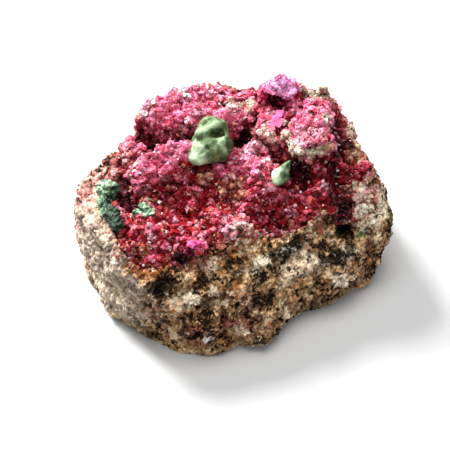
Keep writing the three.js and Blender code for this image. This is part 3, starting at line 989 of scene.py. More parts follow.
# Places where the rock is deeper or higher than its solid.
ROCK_FOLDS = (
    Fold("groove on the right", (15.9, -16.0, 21.0), (15.9, -18.6, 16.5), 0.9, -1.0),
    Fold("notch under the druse", (-20.4, -11.0, 20.6), (-17.4, -12.4, 20.4), 0.8, -1.1),
    Fold("ledge on the left of the front", (-24.0, -13.0, 19.4), (-15.0, -16.2, 18.6), 0.8, 0.7),
    Fold("boss in the middle of the front", (1.0, -21.0, 13.6), (5.0, -21.4, 14.0), 2.2, 0.7),
    Fold("hollow beside the boss", (-5.0, -20.4, 12.4), (-2.0, -20.8, 11.6), 1.6, -0.8),
    Fold("left back corner", (-27.6, 17.6, 18.5), (-28.6, 14.4, 20.0), 2.0, 1.3),
    Fold("hollow at the left", (-25.0, -14.4, 16.6), (-21.0, -16.8, 16.0), 1.4, -0.8),
)


@dataclass
class HostRock:
    """The broken block that the crystals grew on.

    pitch is the fineness of its mesh, and smoothing how many times its facets are rounded. swell,
    lump, grain and pit are the heights of its relief, which fades in over the heights base above the
    floor, and rim is how far the druse stains it, all in millimetres. weak is how much of the grain
    is missing at the pale end.

    Over the heights foot the tan of the lowest rock ends, with the share foot_share. stain is how
    strongly the druse stains it. Light on the rock is least_light in the hollows of its relief and
    more_light more on the crests, from the first height of shaded to the second.
    """

    pitch: float = 0.36
    smoothing: int = 4
    swell: float = 0.15
    lump: float = 0.55
    grain: float = 0.3
    pit: float = 0.7
    base: tuple[float, float] = (0.1, 1.2)
    rim: float = 2.4
    weak: float = 0.6
    foot: tuple[float, float] = (1.5, 3.5)
    foot_share: float = 0.6
    stain: float = 0.8
    shaded: tuple[float, float] = (-0.7, 0.6)
    least_light: float = 0.6
    more_light: float = 0.55
    finish: RockFinish = RockFinish()

    def relief(self, points: np.ndarray) -> np.ndarray:
        """Gives how far the rock's skin stands out from the solid.

        Args:
            points: Places in millimetres.

        Returns:
            A height in millimetres for each place.
        """
        lumps = smooth_noise(points, 3.2, seed=1) + 0.7 * smooth_noise(points, 1.4, seed=2)
        nearest, second = cell_noise(points, 1.2, seed=3)
        grains = ramp(second - nearest, 0.0, 0.35) - 0.5 + 1.2 * smooth_noise(points, 0.75, seed=4)
        pits = ramp(smooth_noise(points, 2.1, seed=5) + 0.5 * smooth_noise(points, 0.7, seed=6), 0.3, 0.65)
        relief = self.swell + self.lump * lumps + self.grain * grains - self.pit * pits
        return relief + folded(points, ROCK_FOLDS)

    def tones(self, points: np.ndarray) -> np.ndarray:
        """Gives the rock's colour at each place.

        Args:
            points: Places in millimetres.

        Returns:
            Linear colours.
        """
        colours = lay_clouds(np.tile(Tone.BROWN.linear(), (len(points), 1)), points, ROCK_CLOUDS)
        height = points[:, 2] + 1.5 * smooth_noise(points, 2.5, seed=17)
        foot = self.foot_share * (1 - ramp(height, *self.foot))
        colours = lay(lay_marks(colours, points, ROCK_MARKS), Tone.TAN, foot)
        rim = nearness(points, packed_points("salrose_druse"), self.rim)
        rim = rim * (0.6 + 0.8 * smooth_noise(points, 1.3, seed=18)).clip(0, 1)
        return lay(colours, Tone.RUSTY_ROSE, self.stain * rim)

    def build(self) -> bpy.types.Object:
        """Makes and dresses the rock.

        Returns:
            The piece.
        """
        rock = refined_copy("host_rock", "host_rock_skin", self.pitch, self.smoothing)
        points = mesh_points(rock.data)
        normals = mesh_normals(rock.data)
        relief = self.relief(points)
        light = self.least_light + self.more_light * ramp(relief, *self.shaded)
        colours = self.tones(points) * light[:, None]
        points = points + normals * (relief * ramp(points[:, 2], *self.base))[:, None]
        points[:, 2] = np.maximum(points[:, 2], 0)
        place_points(rock.data, points)
        pale = PALE_END.share(points)
        paint_points(rock.data, colours, 1 - self.weak * pale)
        settle(rock, "host_rock", self.finish.material(), smooth=False)
        return rock


# ---- Salrose ----

# Regions of the druse that differ from its usual rose and crimson.
SALROSE_REGIONS = (
    Patch("brighter back", (1.0, 13.5), (26.0, 8.5), Tone.LIGHT_ROSE, 0.5, turn=-22),
    Patch("brighter middle", (2.5, -0.6), (7.0, 5.4), Tone.LIGHT_ROSE, 0.7, turn=-30),
    Patch("darker front left", (-15.0, -5.0), (12.0, 6.5), Tone.CRIMSON, 0.35, turn=-25),
    Patch("darker right", (17.0, -12.6), (7.0, 3.4), Tone.CRIMSON, 0.5, turn=-20),
    Patch("tan slope under the nodule", (-6.4, 1.8), (1.9, 1.1), Tone.TAN, 0.6, turn=-24),
    Patch("dusty left shoulder", (-23.5, 15.2), (7.6, 5.2), Tone.DUSTY_ROSE, 0.9, turn=-20),
    Patch("green fleck on the shoulder", (-21.6, 17.0), (1.8, 0.9), Tone.OLIVE, 0.6),
    # Painted light: the ridge's lighter rose is partly its own pink and partly light falling on it.
    Patch("bright ridge", (-14.2, 8.4), (8.0, 3.2), Tone.LIGHT_ROSE, 1.0, turn=-6),
    Patch("pale strip on the ridge's end", (-18.6, 9.6), (1.8, 0.5), Tone.CREAM, 0.9, turn=30),
    # Painted light: the lump's lighter rose is partly its own pink and partly light falling on it.
    Patch("back left lump", (-3.0, 17.0), (11.0, 5.0), Tone.LIGHT_ROSE, 0.8, turn=-20),
    Patch("clear crystals on its edge", (-9.0, 19.4), (1.0, 0.7), Tone.WHITE, 0.9),
    Patch("white crystals at its end", (-11.0, 18.8), (0.9, 0.9), Tone.WHITE, 0.9),
    Patch("tan corner of the lump", (-12.8, 20.0), (1.4, 1.2), Tone.TAN, 0.9),
    # Painted highlight: this white mark stands in for a glint of light on the lump's crystals.
    Patch("white vein on the lump", (-2.0, 18.4), (0.9, 1.9), Tone.WHITE, 0.9, turn=10),
    Patch("pale streak on the lump", (4.8, 16.4), (2.6, 0.9), Tone.PALE_PINK, 0.8, turn=-20),
    Patch("red streak", (-8.4, 14.2), (1.6, 1.8), Tone.RED, 0.9, turn=-40),
    Patch("silky tuft", (-4.9, 12.4), (1.4, 1.1), Tone.PALE_PINK, 0.95),
    Patch("tan fleck behind the nodule", (-0.8, 13.2), (0.9, 1.0), Tone.OLIVE, 0.8),
    Patch("cream crest of the middle lump", (7.6, 11.2), (3.6, 1.8), Tone.CREAM, 0.9, turn=-20),
    Patch("tan cheek of the middle lump", (8.2, 1.8), (1.7, 2.4), Tone.CREAM, 0.65, turn=10),
    Patch("pale cluster in the middle", (4.6, 1.8), (2.0, 1.3), Tone.PALE_PINK, 0.9, turn=-20),
    Patch("two large rhombs", (12.2, 6.0), (1.5, 1.2), Tone.PALE_PINK, 0.8, turn=-20),
    Spot("hot pink foot of the peak", (15.0, 7.6, 34.5), (5.8, 4.0), Tone.HOT_PINK, 0.75),
    Patch("grey back knob", (22.0, 4.6), (3.8, 3.0), Tone.SAGE, 1.0, turn=-38),
    Patch("cream fleck on the knob", (21.2, 4.2), (1.2, 0.9), Tone.CREAM, 0.8, turn=-38),
    Patch("green fleck on the knob", (23.0, 3.0), (1.4, 0.9), Tone.MALACHITE, 0.9, turn=-38),
    Patch("block top", (16.2, -2.0), (5.0, 4.5), Tone.LIGHT_ROSE, 0.85, turn=-28),
    Patch("block front lobe", (13.8, -4.8), (3.6, 2.6), Tone.PALE_PINK, 0.55, turn=-28),
    Patch("cream right corner", (22.8, -17.4), (4.8, 2.6), Tone.CREAM, 0.85, turn=-34),
    Patch("tan in the basin", (-2.4, -2.4), (3.2, 1.3), Tone.TAN, 0.65, turn=-30),
    Patch("tan below it", (-2.4, -4.6), (1.6, 2.0), Tone.TAN, 0.6),
    Patch("pale lump at the rim", (-7.4, -10.8), (3.0, 2.2), Tone.PALE_PINK, 0.55, turn=-20),
    Patch("cream edge of that lump", (-5.0, -12.8), (3.4, 1.0), Tone.CREAM, 0.7, turn=-20),
    Patch("hot pink crystals", (-16.0, -11.2), (2.4, 1.3), Tone.HOT_PINK, 0.85, turn=-22),
    Patch("olive flecks front left", (-25.4, -6.6), (2.0, 1.6), Tone.OLIVE, 0.7, turn=-30),
)

# Tones that lie in clouds all over the druse, under its regions and over them.
SALROSE_CLOUDS = (
    Cloud(Tone.LIGHT_ROSE, 2.4, 28, 0.1, 0.5, 0.65),
    Cloud(Tone.BROWN_ROSE, 2.8, 25, 0.3, 0.5, 0.75),
    Cloud(Tone.TAN, 3.0, 33, 0.4, 0.55, 0.6),
)
SALROSE_VEINS = (
    Cloud(Tone.CRIMSON, 2.8, 31, 0.16, 0.44, 0.6),
    Cloud(Tone.MAROON, 2.2, 32, 0.36, 0.5, 0.85),
    Cloud(Tone.PALE_PINK, 2.2, 34, 0.34, 0.52, 0.6),
)

# Hollows, bare rims and bright places of the druse, laid over all else. The dark marks in
# hollows, crevices, slits, the groove and on the block's shaded faces are painted shade.
SALROSE_MARKS = (
    Spot("pink back wall", (-3.5, 21.5, 26.0), (8.0, 3.5), Tone.LIGHT_ROSE, 0.75),
    # Painted light, together with the lump's own pink: lighter rose on the back-left lump.
    Spot("bright back-left lump", (-12.0, 17.0, 30.5), (7.5, 3.4), Tone.LIGHT_ROSE, 0.3),
    Spot("bare right rim", (27.6, -2.4, 25.0), (2.2, 2.2), Tone.CREAM, 0.9),
    Spot("bare rim before it", (26.2, -6.6, 24.6), (2.2, 2.0), Tone.TAN, 0.9),
    Spot("bare rim at the right corner", (25.6, -10.6, 23.6), (2.0, 2.0), Tone.TAN, 0.9),
    Spot("olive rim at the right corner", (24.4, -14.2, 22.6), (1.7, 1.8), Tone.OLIVE, 0.8),
    Spot("violet peak", (15.2, 6.8, 36.8), (4.2, 2.0), Tone.VIOLET_PINK, 1.0),
    Spot("cream left rim of the block", (11.3, -0.9, 31.0), (1.3, 1.4), Tone.CREAM, 0.9),
    Spot("cream left side of the block", (10.9, -3.1, 30.0), (1.2, 1.3), Tone.CREAM, 0.9),
    Spot("cream left corner of the block", (11.1, -5.4, 30.3), (1.4, 1.3), Tone.CREAM, 0.95),
    Spot("cream front rim of the block", (12.7, -7.9, 31.0), (1.6, 1.2), Tone.CREAM, 0.95),
    Spot("cream front corner of the block", (14.8, -8.7, 31.2), (1.5, 1.0), Tone.CREAM, 0.9),
    Spot("tan front rim of the block", (16.8, -8.9, 31.8), (1.4, 0.8), Tone.TAN, 0.85),
    Spot("cream notch of the block", (12.8, 1.2, 31.6), (1.3, 1.1), Tone.CREAM, 0.95),
    Spot("tan far corner of the block", (19.4, -3.7, 34.4), (1.5, 0.9), Tone.CREAM, 0.9),
    # Painted shadow: black under the druse's overhanging edge.
    Patch("notch under the druse", (-18.8, -10.8), (2.4, 0.9), Tone.BLACK, 0.95, ragged=0.3, turn=-20),
    # Painted shade: maroon in the crevices under the back-left lump, where its shadow falls.
    Patch("dark crevice", (-8.0, 12.6), (6.0, 1.3), Tone.MAROON, 0.8, turn=-30),
    Patch("dark crevice at the lump's end", (-12.4, 16.6), (2.6, 1.3), Tone.MAROON, 0.9, turn=-64),
    # Painted light: lighter rose on a wall that faces away from the key light.
    Patch("wall above the vug", (5.4, 10.6), (3.2, 1.6), Tone.LIGHT_ROSE, 0.6, turn=-10),
    # Painted shade: the maroon in the vug stands in for the shadow in this deep pocket.
    Spot("vug beside the nodule", (6.0, 6.9, 23.2), (3.4, 3.8), Tone.MAROON, 1.0, ragged=0.15),
    # Painted shade: maroon in the slits and the crevice under the peak.
    Spot("slit under the bright face", (14.3, 6.3, 34.3), (2.6, 0.5), Tone.MAROON, 0.95, ragged=0.2),
    Spot("second slit", (14.6, 6.2, 32.8), (1.8, 0.5), Tone.MAROON, 0.9, ragged=0.2),
    Patch("crevice under the peak", (13.2, 5.2), (1.8, 0.7), Tone.MAROON, 0.9, turn=-34),
    # Painted shade: maroon on the block's shaded side and front edge, and its shadow at its foot.
    Spot("dark side of the block", (22.2, -4.6, 28.4), (4.0, 5.2), Tone.MAROON, 1.0, ragged=0.3),
    Spot("dark front edge of the block", (19.4, -7.6, 29.0), (2.6, 2.4), Tone.MAROON, 0.95, ragged=0.3),
    Spot("dark foot of the block", (11.0, -6.3, 26.4), (2.6, 2.2), Tone.MAROON, 0.95, ragged=0.3),
    # Painted shade: black in the groove and at its mouth.
    Patch("dark groove", (16.0, -14.8), (2.2, 2.6), Tone.BLACK, 0.95, turn=-10),
    Spot("dark mouth of the groove", (15.4, -17.4, 20.8), (1.9, 2.0), Tone.BLACK, 0.9, ragged=0.3),
    Spot("pale ledge beside the groove", (19.2, -18.8, 21.0), (2.1, 1.8), Tone.CREAM, 0.85),
    Spot("green fleck in the groove", (14.4, -17.2, 19.8), (0.9, 0.8), Tone.MALACHITE, 0.9),
    # Painted shade: maroon in the pocket beside the malachite.
    Patch("dark pocket by the malachite", (-22.0, 7.4), (2.2, 4.2), Tone.MAROON, 0.95, ragged=0.3, turn=-20),
)

# Places where the druse is deeper or higher than its solid.
SALROSE_FOLDS = (
    Fold("crest of the ridge", (-18.5, 12.0), (-11.0, 10.6), 1.6, -1.5),
    Fold("broad face of the ridge", (-18.0, 6.6), (-9.0, 5.8), 1.8, 1.7),
    Fold("apron of the back lump", (-9.5, 13.2), (-4.6, 11.9), 1.2, 1.6),
    Fold("saddle behind the block", (15.4, 4.6), (20.6, 0.8), 1.9, 2.3),
    Fold("saddle of the middle lump", (12.2, 5.4), (10.4, 0.8), 1.5, 2.2),
    Fold("ground under the peak", (11.8, 6.2), (15.6, 4.6), 1.4, 2.2),
    Fold("slit under the bright face", (12.4, 8.4, 33.6), (16.4, 5.8, 34.0), 0.6, -1.8),
    Fold("second slit", (13.4, 7.2, 32.3), (16.0, 5.4, 32.9), 0.6, -1.4),
    Fold("tip of the peak", (14.6, 8.4, 37.0), (15.8, 8.0, 37.2), 1.8, 0.5),
    Fold("left shoulder of the peak", (12.8, 9.4, 34.6), (14.0, 8.6, 35.8), 1.5, 1.3),
    Fold("right shoulder of the peak", (17.4, 7.2, 35.8), (18.6, 6.8, 35.2), 1.3, 1.2),
    Fold("wall behind the vug", (3.4, 10.4), (7.6, 10.4), 1.6, 2.4),
    Fold("foot of the block", (13.6, -8.6), (16.6, -10.8), 1.6, -1.0),
    Fold("vug beside the nodule", (5.0, 7.8), (7.0, 7.8), 1.2, -1.2),
    Fold("front lip of the vug", (4.2, 5.0), (6.8, 4.6), 1.5, -2.4),
    Fold("crevice at the lump's end", (-12.9, 17.6), (-11.6, 15.2), 1.2, -1.4),
    Fold("pocket by the malachite", (-21.6, 10.0), (-22.6, 5.2), 1.6, -1.8),
    Fold("cleft at the block's foot", (9.6, -5.4), (11.2, -8.6), 1.1, -1.6),
    Fold("groove on the right", (15.6, -13.6), (16.0, -16.6), 1.5, -2.6),
    Fold("dark side of the block", (19.8, -6.0), (21.8, -9.4), 1.2, -1.2),
    Fold("cleft beside the block", (21.4, -5.4), (23.4, -1.6), 1.3, -1.4),
)


CRYSTAL_FINISH = SalroseFinish()


@dataclass(frozen=True)
class Crowd:
    """One crowd of crystals: how many there are, and how large they are in millimetres.

    many sets how many of them are small: the higher it is, the fewer large ones there are. odd is
    how strongly some of them differ from their neighbours in tone.
    """

    name: str
    count: int
    smallest: float
    largest: float
    many: float
    odd: float
    seed: int
    finish: SalroseFinish = CRYSTAL_FINISH


GLINT_FINISH = SalroseFinish("salrose_glints", roughness=0.05, shine=1.0, veils=0.8, depth=0.2)
RHOMB_FINISH = SalroseFinish("salrose_rhombs", roughness=0.2, shine=0.5, veils=0.4, depth=0.6)

CROWDS = (
    Crowd("salrose_crystals", 16000, 0.24, 0.78, many=2.2, odd=1.0, seed=20),
    Crowd("salrose_small_crystals", 16000, 0.16, 0.4, many=1.0, odd=1.2, seed=21),
    Crowd("salrose_large_crystals", 130, 0.8, 1.4, many=1.4, odd=0.6, seed=23),
    Crowd("salrose_glints", 1300, 0.2, 0.45, many=1.2, odd=1.0, seed=22, finish=GLINT_FINISH),
)


@dataclass(frozen=True)
class OddTone:
    """A tone that single crystals take: the part of them that do, and how strongly."""

    tone: Tone
    part: float
    strength: float


ODD_TONES = (
    OddTone(Tone.PALE_PINK, 0.09, 0.4),
    OddTone(Tone.CRIMSON, 0.12, 0.5),
    OddTone(Tone.TAN, 0.03, 0.5),
    # White crystals: partly white flecks, partly painted glints that stand in for sparkles of light.
    OddTone(Tone.WHITE, 0.01, 0.75),
    OddTone(Tone.BLACK, 0.02, 0.7),
)


@dataclass(frozen=True)
class Rhomb:
    """One large crystal that stands out from the crust.

    at is its middle in plan, edge its length in millimetres, facing the way one of its faces looks
    and along the way that face's edge runs.
    """

    name: str
    at: tuple[float, float]
    edge: float
    facing: tuple[float, float, float]
    along: tuple[float, float, float]
    tone: Tone
    angle: float = 102.0

    def corners(self, ground: HeightMap) -> np.ndarray:
        """Places its corners on the ground.

        Args:
            ground: The height of the crust.

        Returns:
            Its eight corners in millimetres.
        """
        c, s = math.cos(math.radians(self.angle)), math.sin(math.radians(self.angle))
        lean = (c - c * c) / s
        edges = np.array([[1, 0, 0], [c, s, 0], [c, lean, math.sqrt(1 - c * c - lean * lean)]])
        box = np.array(list(product((-0.5, 0.5), repeat=3))) @ edges * self.edge
        look = Vector(self.facing).normalized()
        side = look.cross(Vector(self.along)).normalized()
        turn = np.array([side.cross(look), side, look])
        middle = np.array([[*self.at, 0.0]]) + PLAN_ORIGIN
        middle[:, 2] = ground.top(middle)
        return box @ turn + middle


RHOMBS = (
    Rhomb("flat rhomb in the middle", (11.7, 3.4), 2.1, (-0.2, -0.5, 0.8), (0.9, 0.5, 0.4), Tone.ORCHID),
    Rhomb("rhomb behind it", (13.0, 4.4), 1.5, (-0.4, -0.3, 0.8), (0.8, 0.7, 0.3), Tone.ORCHID),
    Rhomb("rhomb before it", (10.0, 2.4), 1.2, (-0.1, -0.5, 0.8), (0.7, -0.4, 0.2), Tone.LIGHT_ROSE),
    # Painted highlight: these two white crystals stand in for a glint of light on the lump.
    Rhomb("clear crystal on the lump", (-2.0, 18.0), 0.8, (-0.3, -0.4, 0.8), (0.6, 0.2, 0.3), Tone.WHITE),
    Rhomb("clear crystal beside it", (-1.4, 16.8), 0.6, (0.2, -0.4, 0.8), (0.6, -0.5, 0.3), Tone.WHITE),
    Rhomb("clear crystal on the edge", (-8.8, 19.0), 0.7, (-0.2, -0.3, 0.9), (0.3, 0.8, 0.3), Tone.WHITE),
    Rhomb("clear crystal at the end", (-10.8, 18.4), 0.6, (-0.5, -0.2, 0.8), (0.5, 0.8, 0.3), Tone.WHITE),
    Rhomb("hot pink blade", (-16.6, -11.0), 1.1, (-0.2, -0.6, 0.7), (0.9, 0.3, 0.2), Tone.ORCHID),
    Rhomb("hot pink blade beside it", (-15.2, -11.2), 0.9, (0.1, -0.5, 0.8), (0.8, -0.3, 0.2), Tone.ORCHID),
    # Painted highlights: these white crystals stand in for glints of light.
    Rhomb("glint by the small nodule", (10.4, -8.9), 0.5, (-0.3, -0.5, 0.8), (0.8, -0.3, 0.2), Tone.WHITE),
    Rhomb("glint in the basin", (-17.0, 1.8), 0.55, (-0.3, -0.5, 0.8), (0.8, 0.3, 0.2), Tone.WHITE),
    Rhomb("glint on the shoulder", (-19.0, 10.4), 0.6, (-0.4, -0.4, 0.8), (0.6, 0.5, 0.2), Tone.WHITE),
)


# Nearness of the rock to the crust, from 0 to 1: the rock is covered from COVERED up, and is the
# crust's rim from RIM up to there.
COVERED = 0.9
RIM = 0.3

# Heights of a crystal's foot and tip above its middle, by its size.
FOOT_TO_TIP = (-0.5, 0.8)

# A rhomb's six faces, facing out, by the numbers of its corners.
RHOMB_FACES = np.array([[0, 1, 3, 2], [4, 6, 7, 5], [0, 4, 5, 1], [2, 3, 7, 6], [0, 2, 6, 4], [1, 5, 7, 3]])


def rhomb_faces(count: int) -> np.ndarray:
    """Numbers the faces of so many rhombs, with eight corners each."""
    return (RHOMB_FACES[None] + 8 * np.arange(count)[:, None, None]).reshape(-1, 4)


@dataclass
class SalroseDruse:
    """The thick pink crust, with its crowds of rhomb crystals.

    pitch is the fineness of the crust's mesh, and smoothing how many times its facets are rounded.
    swell, lump, cluster and grain are the heights of its relief, near and far the reaches of ground
    that a place's height is told from, by their weights, edge the reach from its rim where there are
    no hollows, and rim how far crystals stray over the rock, all in millimetres.

    Crystals stand where the crust faces up at least least_up, or the rock rock_least_up, from -1 to
    1. One in strays of them stands on the rock. squat is a crystal's height by its width, tilt its
    lean in degrees, sink how far up it stands by its size, and jitter how uneven its corners are.

    Neighbours lean together by wave, and a crystal is longer or shorter each way by stretch.

    The light, dark and darkest tones are painted light and shade: a painted highlight on the crests
    and painted shade in the hollows and pits. They come in over the heights crest, hollow and pit
    above the ground, up to the shares with their names. The crust between the crystals is darker by
    shade, a painted shade, and toned as if it stood lower by below. A crystal's painted light is
    foot_light at its foot and tip_light more at its tip. uneven and spread are how much crystals
    differ in how high they seem to stand and in light, and stain how strongly those at the rock are
    stained.
    """

    pitch: float = 0.32
    smoothing: int = 3
    swell: float = 0.15
    lump: float = 0.5
    cluster: float = 0.7
    grain: float = 0.12
    near: float = 1.1
    near_weight: float = 0.9
    far: float = 3.5
    far_weight: float = 0.35
    edge: float = 1.5
    rim: float = 2.0
    least_up: float = -0.1
    rock_least_up: float = -0.2
    crest: tuple[float, float] = (0.2, 1.1)
    crest_share: float = 0.5
    hollow: tuple[float, float] = (-1.3, -0.2)
    hollow_share: float = 0.8
    pit: tuple[float, float] = (-2.4, -1.1)
    pit_share: float = 0.95
    shade: float = 0.85
    below: float = 0.2
    foot_light: float = 0.85
    tip_light: float = 0.3
    uneven: float = 0.3
    stain: float = 0.8
    squat: float = 0.72
    tilt: float = 46.0
    sink: float = 0.04
    jitter: float = 0.08
    wave: float = 0.6
    stretch: float = 0.2
    spread: float = 0.13
    strays: int = 16
    heights: HeightMap = field(init=False)
    rim_share: np.ndarray = field(init=False)
    rim_points: np.ndarray = field(init=False)

    def relief(self, points: np.ndarray) -> np.ndarray:
        """Gives how far the crust stands out from the solid.

        Args:
            points: Places in millimetres.

        Returns:
            A height in millimetres for each place.
        """
        lumps = smooth_noise(points, 3.2, seed=21) + 0.6 * smooth_noise(points, 1.5, seed=22)
        nearest, second = cell_noise(points, 2.4, seed=23)
        clusters = ramp(second - nearest, 0, 0.45) - 0.6
        grains = self.grain * smooth_noise(points, 0.7, seed=35)
        relief = self.swell + self.lump * lumps + self.cluster * clusters + grains
        return relief + folded(points, SALROSE_FOLDS)

    def tones(self, points: np.ndarray, height: np.ndarray) -> np.ndarray:
        """Gives the crust's colour at each place.

        Args:
            points: Places in millimetres.
            height: How high each place stands over the ground about it, in millimetres.

        Returns:
            Linear colours.
        """
        colours = np.tile(Tone.ROSE.linear(), (len(points), 1))
        # Painted highlight: lighter rose on places that stand above the ground about them.
        light = ramp(height + 0.6 * smooth_noise(points, 2.2, seed=24), *self.crest)
        colours = lay(colours, Tone.LIGHT_ROSE, self.crest_share * light)
        colours = lay_clouds(colours, points, SALROSE_CLOUDS)
        colours = lay_marks(colours, points, SALROSE_REGIONS)
        colours = lay_clouds(colours, points, SALROSE_VEINS)
        # Painted shade: crimson in the hollows and maroon, nearly black, in the pits.
        deep = height + 0.5 * smooth_noise(points, 1.8, seed=27)
        colours = lay(colours, Tone.CRIMSON, self.hollow_share * (1 - ramp(deep, *self.hollow)))
        colours = lay(colours, Tone.MAROON, self.pit_share * (1 - ramp(deep, *self.pit)))
        return lay_marks(colours, points, SALROSE_MARKS)

    def stand(self, points: np.ndarray) -> np.ndarray:
        """Gives how high places stand over the near and the wider ground, together.

        Args:
            points: Places in millimetres.

        Returns:
            A height in millimetres for each place, below 0 in a hollow.
        """
        near = self.near_weight * self.heights.over_ground(points, self.near)
        stand = near + self.far_weight * self.heights.over_ground(points, self.far)
        return np.where(stand < 0, stand * self.heights.inside(points, self.edge), stand)

    def ground(self) -> bpy.types.Object:
        """Makes the crust that the crystals stand on.

        Returns:
            The piece, not dressed yet.
        """
        crust = refined_copy("salrose_druse", "salrose_crust", self.pitch, self.smoothing)
        points = mesh_points(crust.data)
        points = points + mesh_normals(crust.data) * self.relief(points)[:, None]
        place_points(crust.data, points)
        self.heights = HeightMap(points)
        # The crust's tones are darkened by shade, a painted shade between the crystals.
        paint_points(crust.data, self.shade * self.tones(points, self.stand(points) - self.below))
        return crust

    def rhomb(self) -> np.ndarray:
        """Makes a rhombohedron of edge 1 with one corner up.

        Returns:
            Its eight corners.
        """
        corners = np.array(list(product((-0.5, 0.5), repeat=3)))
        up = Vector((1, 1, 1)).rotation_difference(Vector((0, 0, 1))).to_matrix()
        return corners @ np.array(up).T * np.array([1, 1, self.squat])

    def feet(self, ground: bpy.types.Object, share: np.ndarray, count: int,
             random: np.random.Generator) -> tuple[np.ndarray, np.ndarray]:
        """Chooses where crystals stand.

        Args:
            ground: The ground that they stand on.
            share: How many crystals each vertex of the ground bears, next to the others.
            count: How many crystals there are.
            random: The source of the choice.

        Returns:
            Their feet in millimetres, and the way the ground faces there.
        """
        points = mesh_points(ground.data)
        normals = mesh_normals(ground.data)
        triangles = triangles_of(ground.data)
        a, b, c = (points[triangles[:, k]] for k in range(3))
        facing = normals[triangles].mean(axis=1)
        area = np.linalg.norm(np.cross(b - a, c - a), axis=1) * share[triangles].mean(axis=1)
        chosen = random.choice(len(triangles), count, p=area / area.sum())
        s, t = random.random((2, count))
        flip = s + t > 1
        s, t = np.where(flip, 1 - s, s), np.where(flip, 1 - t, t)
        feet = a[chosen] + (b - a)[chosen] * s[:, None] + (c - a)[chosen] * t[:, None]
        return feet, facing[chosen] / np.linalg.norm(facing[chosen], axis=1)[:, None]

    def bodies(self, crowd: Crowd, feet: np.ndarray, up: np.ndarray,
               random: np.random.Generator) -> tuple[np.ndarray, np.ndarray]:
        """Shapes, turns and places crystals.

        Args:
            crowd: The crowd that they belong to.
            feet: Where they stand, in millimetres.
            up: The way the ground faces there.
            random: The source of their differences.

        Returns:
            Eight corners in millimetres for each crystal, and how far up the crystal each corner
            lies, as a share from 0 to 1.
        """
        count = len(feet)
        size = crowd.smallest * (crowd.largest / crowd.smallest) ** (random.random(count) ** crowd.many)
        lean = np.stack([smooth_noise(feet, 3.0, seed=30 + k) for k in range(3)], axis=1) * self.wave
        lean += random.normal(0, math.tan(math.radians(self.tilt)) / 2, (count, 3))
        axis = up + lean
        axis /= np.linalg.norm(axis, axis=1)[:, None]
        side = np.cross(axis, random.normal(size=(count, 3)))
        side /= np.linalg.norm(side, axis=1)[:, None]
        turn = np.stack([side, np.cross(axis, side), axis], axis=2)
        shape = self.rhomb()[None] * (1 + self.jitter * random.normal(size=(count, 8, 3)))
        shape = shape * (1 + self.stretch * random.normal(size=(count, 1, 3)).clip(-1, 1))
        share = ramp(shape[:, :, 2], *FOOT_TO_TIP)
        middle = feet + up * (size * self.sink)[:, None]
        places = np.einsum("nij,nkj->nki", turn, shape * size[:, None, None]) + middle[:, None]
        return places, share

    def crystals(self, crowd: Crowd, crust: bpy.types.Object, rock: bpy.types.Object) -> bpy.types.Object:
        """Grows one crowd of crystals on the crust, and a few of them on the rock about it.

        Args:
            crowd: The crowd.
            crust: The crust that they stand on.
            rock: The rock about the crust.

        Returns:
            One piece that holds them all, not dressed yet.
        """
        random = np.random.default_rng(crowd.seed)
        upper = (mesh_normals(crust.data)[:, 2] > self.least_up).astype(float)
        strays = crowd.count // self.strays
        on_crust = self.feet(crust, upper, crowd.count - strays, random)
        on_rock = self.feet(rock, self.rim_share, strays, random)
        feet, up = (np.concatenate(pair) for pair in zip(on_crust, on_rock))
        places, share = self.bodies(crowd, feet, up, random)
        count = len(feet)
        piece = joined_faces(crowd.name, places.reshape(-1, 3), rhomb_faces(count))
        colours = self.tones(feet, self.stand(feet) + self.uneven * random.normal(size=count))
        rim = nearness(feet, self.rim_points, self.rim)
        colours = lay(colours, Tone.RUSTY_ROSE, self.stain * (rim > random.random(count)))
        for odd in ODD_TONES:
            colours = lay(colours, odd.tone, odd.strength * crowd.odd * (random.random(count) < odd.part))
        colours = colours * np.exp(random.normal(0, self.spread, count))[:, None]
        # Painted shade at each crystal's foot and painted light towards its tip.
        colours = colours[:, None] * (self.foot_light + self.tip_light * share[:, :, None])
        paint_points(piece.data, colours.reshape(-1, 3))
        return piece

    def large_rhombs(self) -> bpy.types.Object:
        """Sets the large crystals on the crust.

        Returns:
            One piece that holds them all, not dressed yet.
        """
        places = np.concatenate([rhomb.corners(self.heights) for rhomb in RHOMBS])
        piece = joined_faces("salrose_rhombs", places, rhomb_faces(len(RHOMBS)))
        paint_points(piece.data, np.repeat([rhomb.tone.linear() for rhomb in RHOMBS], 8, axis=0))
        return piece

    def build(self, rock: bpy.types.Object) -> None:
        """Makes and dresses the crust and its crystals.

        Args:
            rock: The rock, which is built already.
        """
        crust = self.ground()
        points = mesh_points(rock.data)
        near = nearness(points, mesh_points(crust.data), self.rim)
        bare = (near < COVERED) & (mesh_normals(rock.data)[:, 2] > self.rock_least_up)
        self.rim_share = near * bare
        self.rim_points = points[self.rim_share > RIM]
        pieces = [(self.crystals(crowd, crust, rock), crowd.finish) for crowd in CROWDS]
        pieces += [(crust, CRYSTAL_FINISH), (self.large_rhombs(), RHOMB_FINISH)]
        for piece, finish in pieces:
            settle(piece, "salrose_druse", finish.material(), smooth=False)


# ---- Nodules and malachite ----

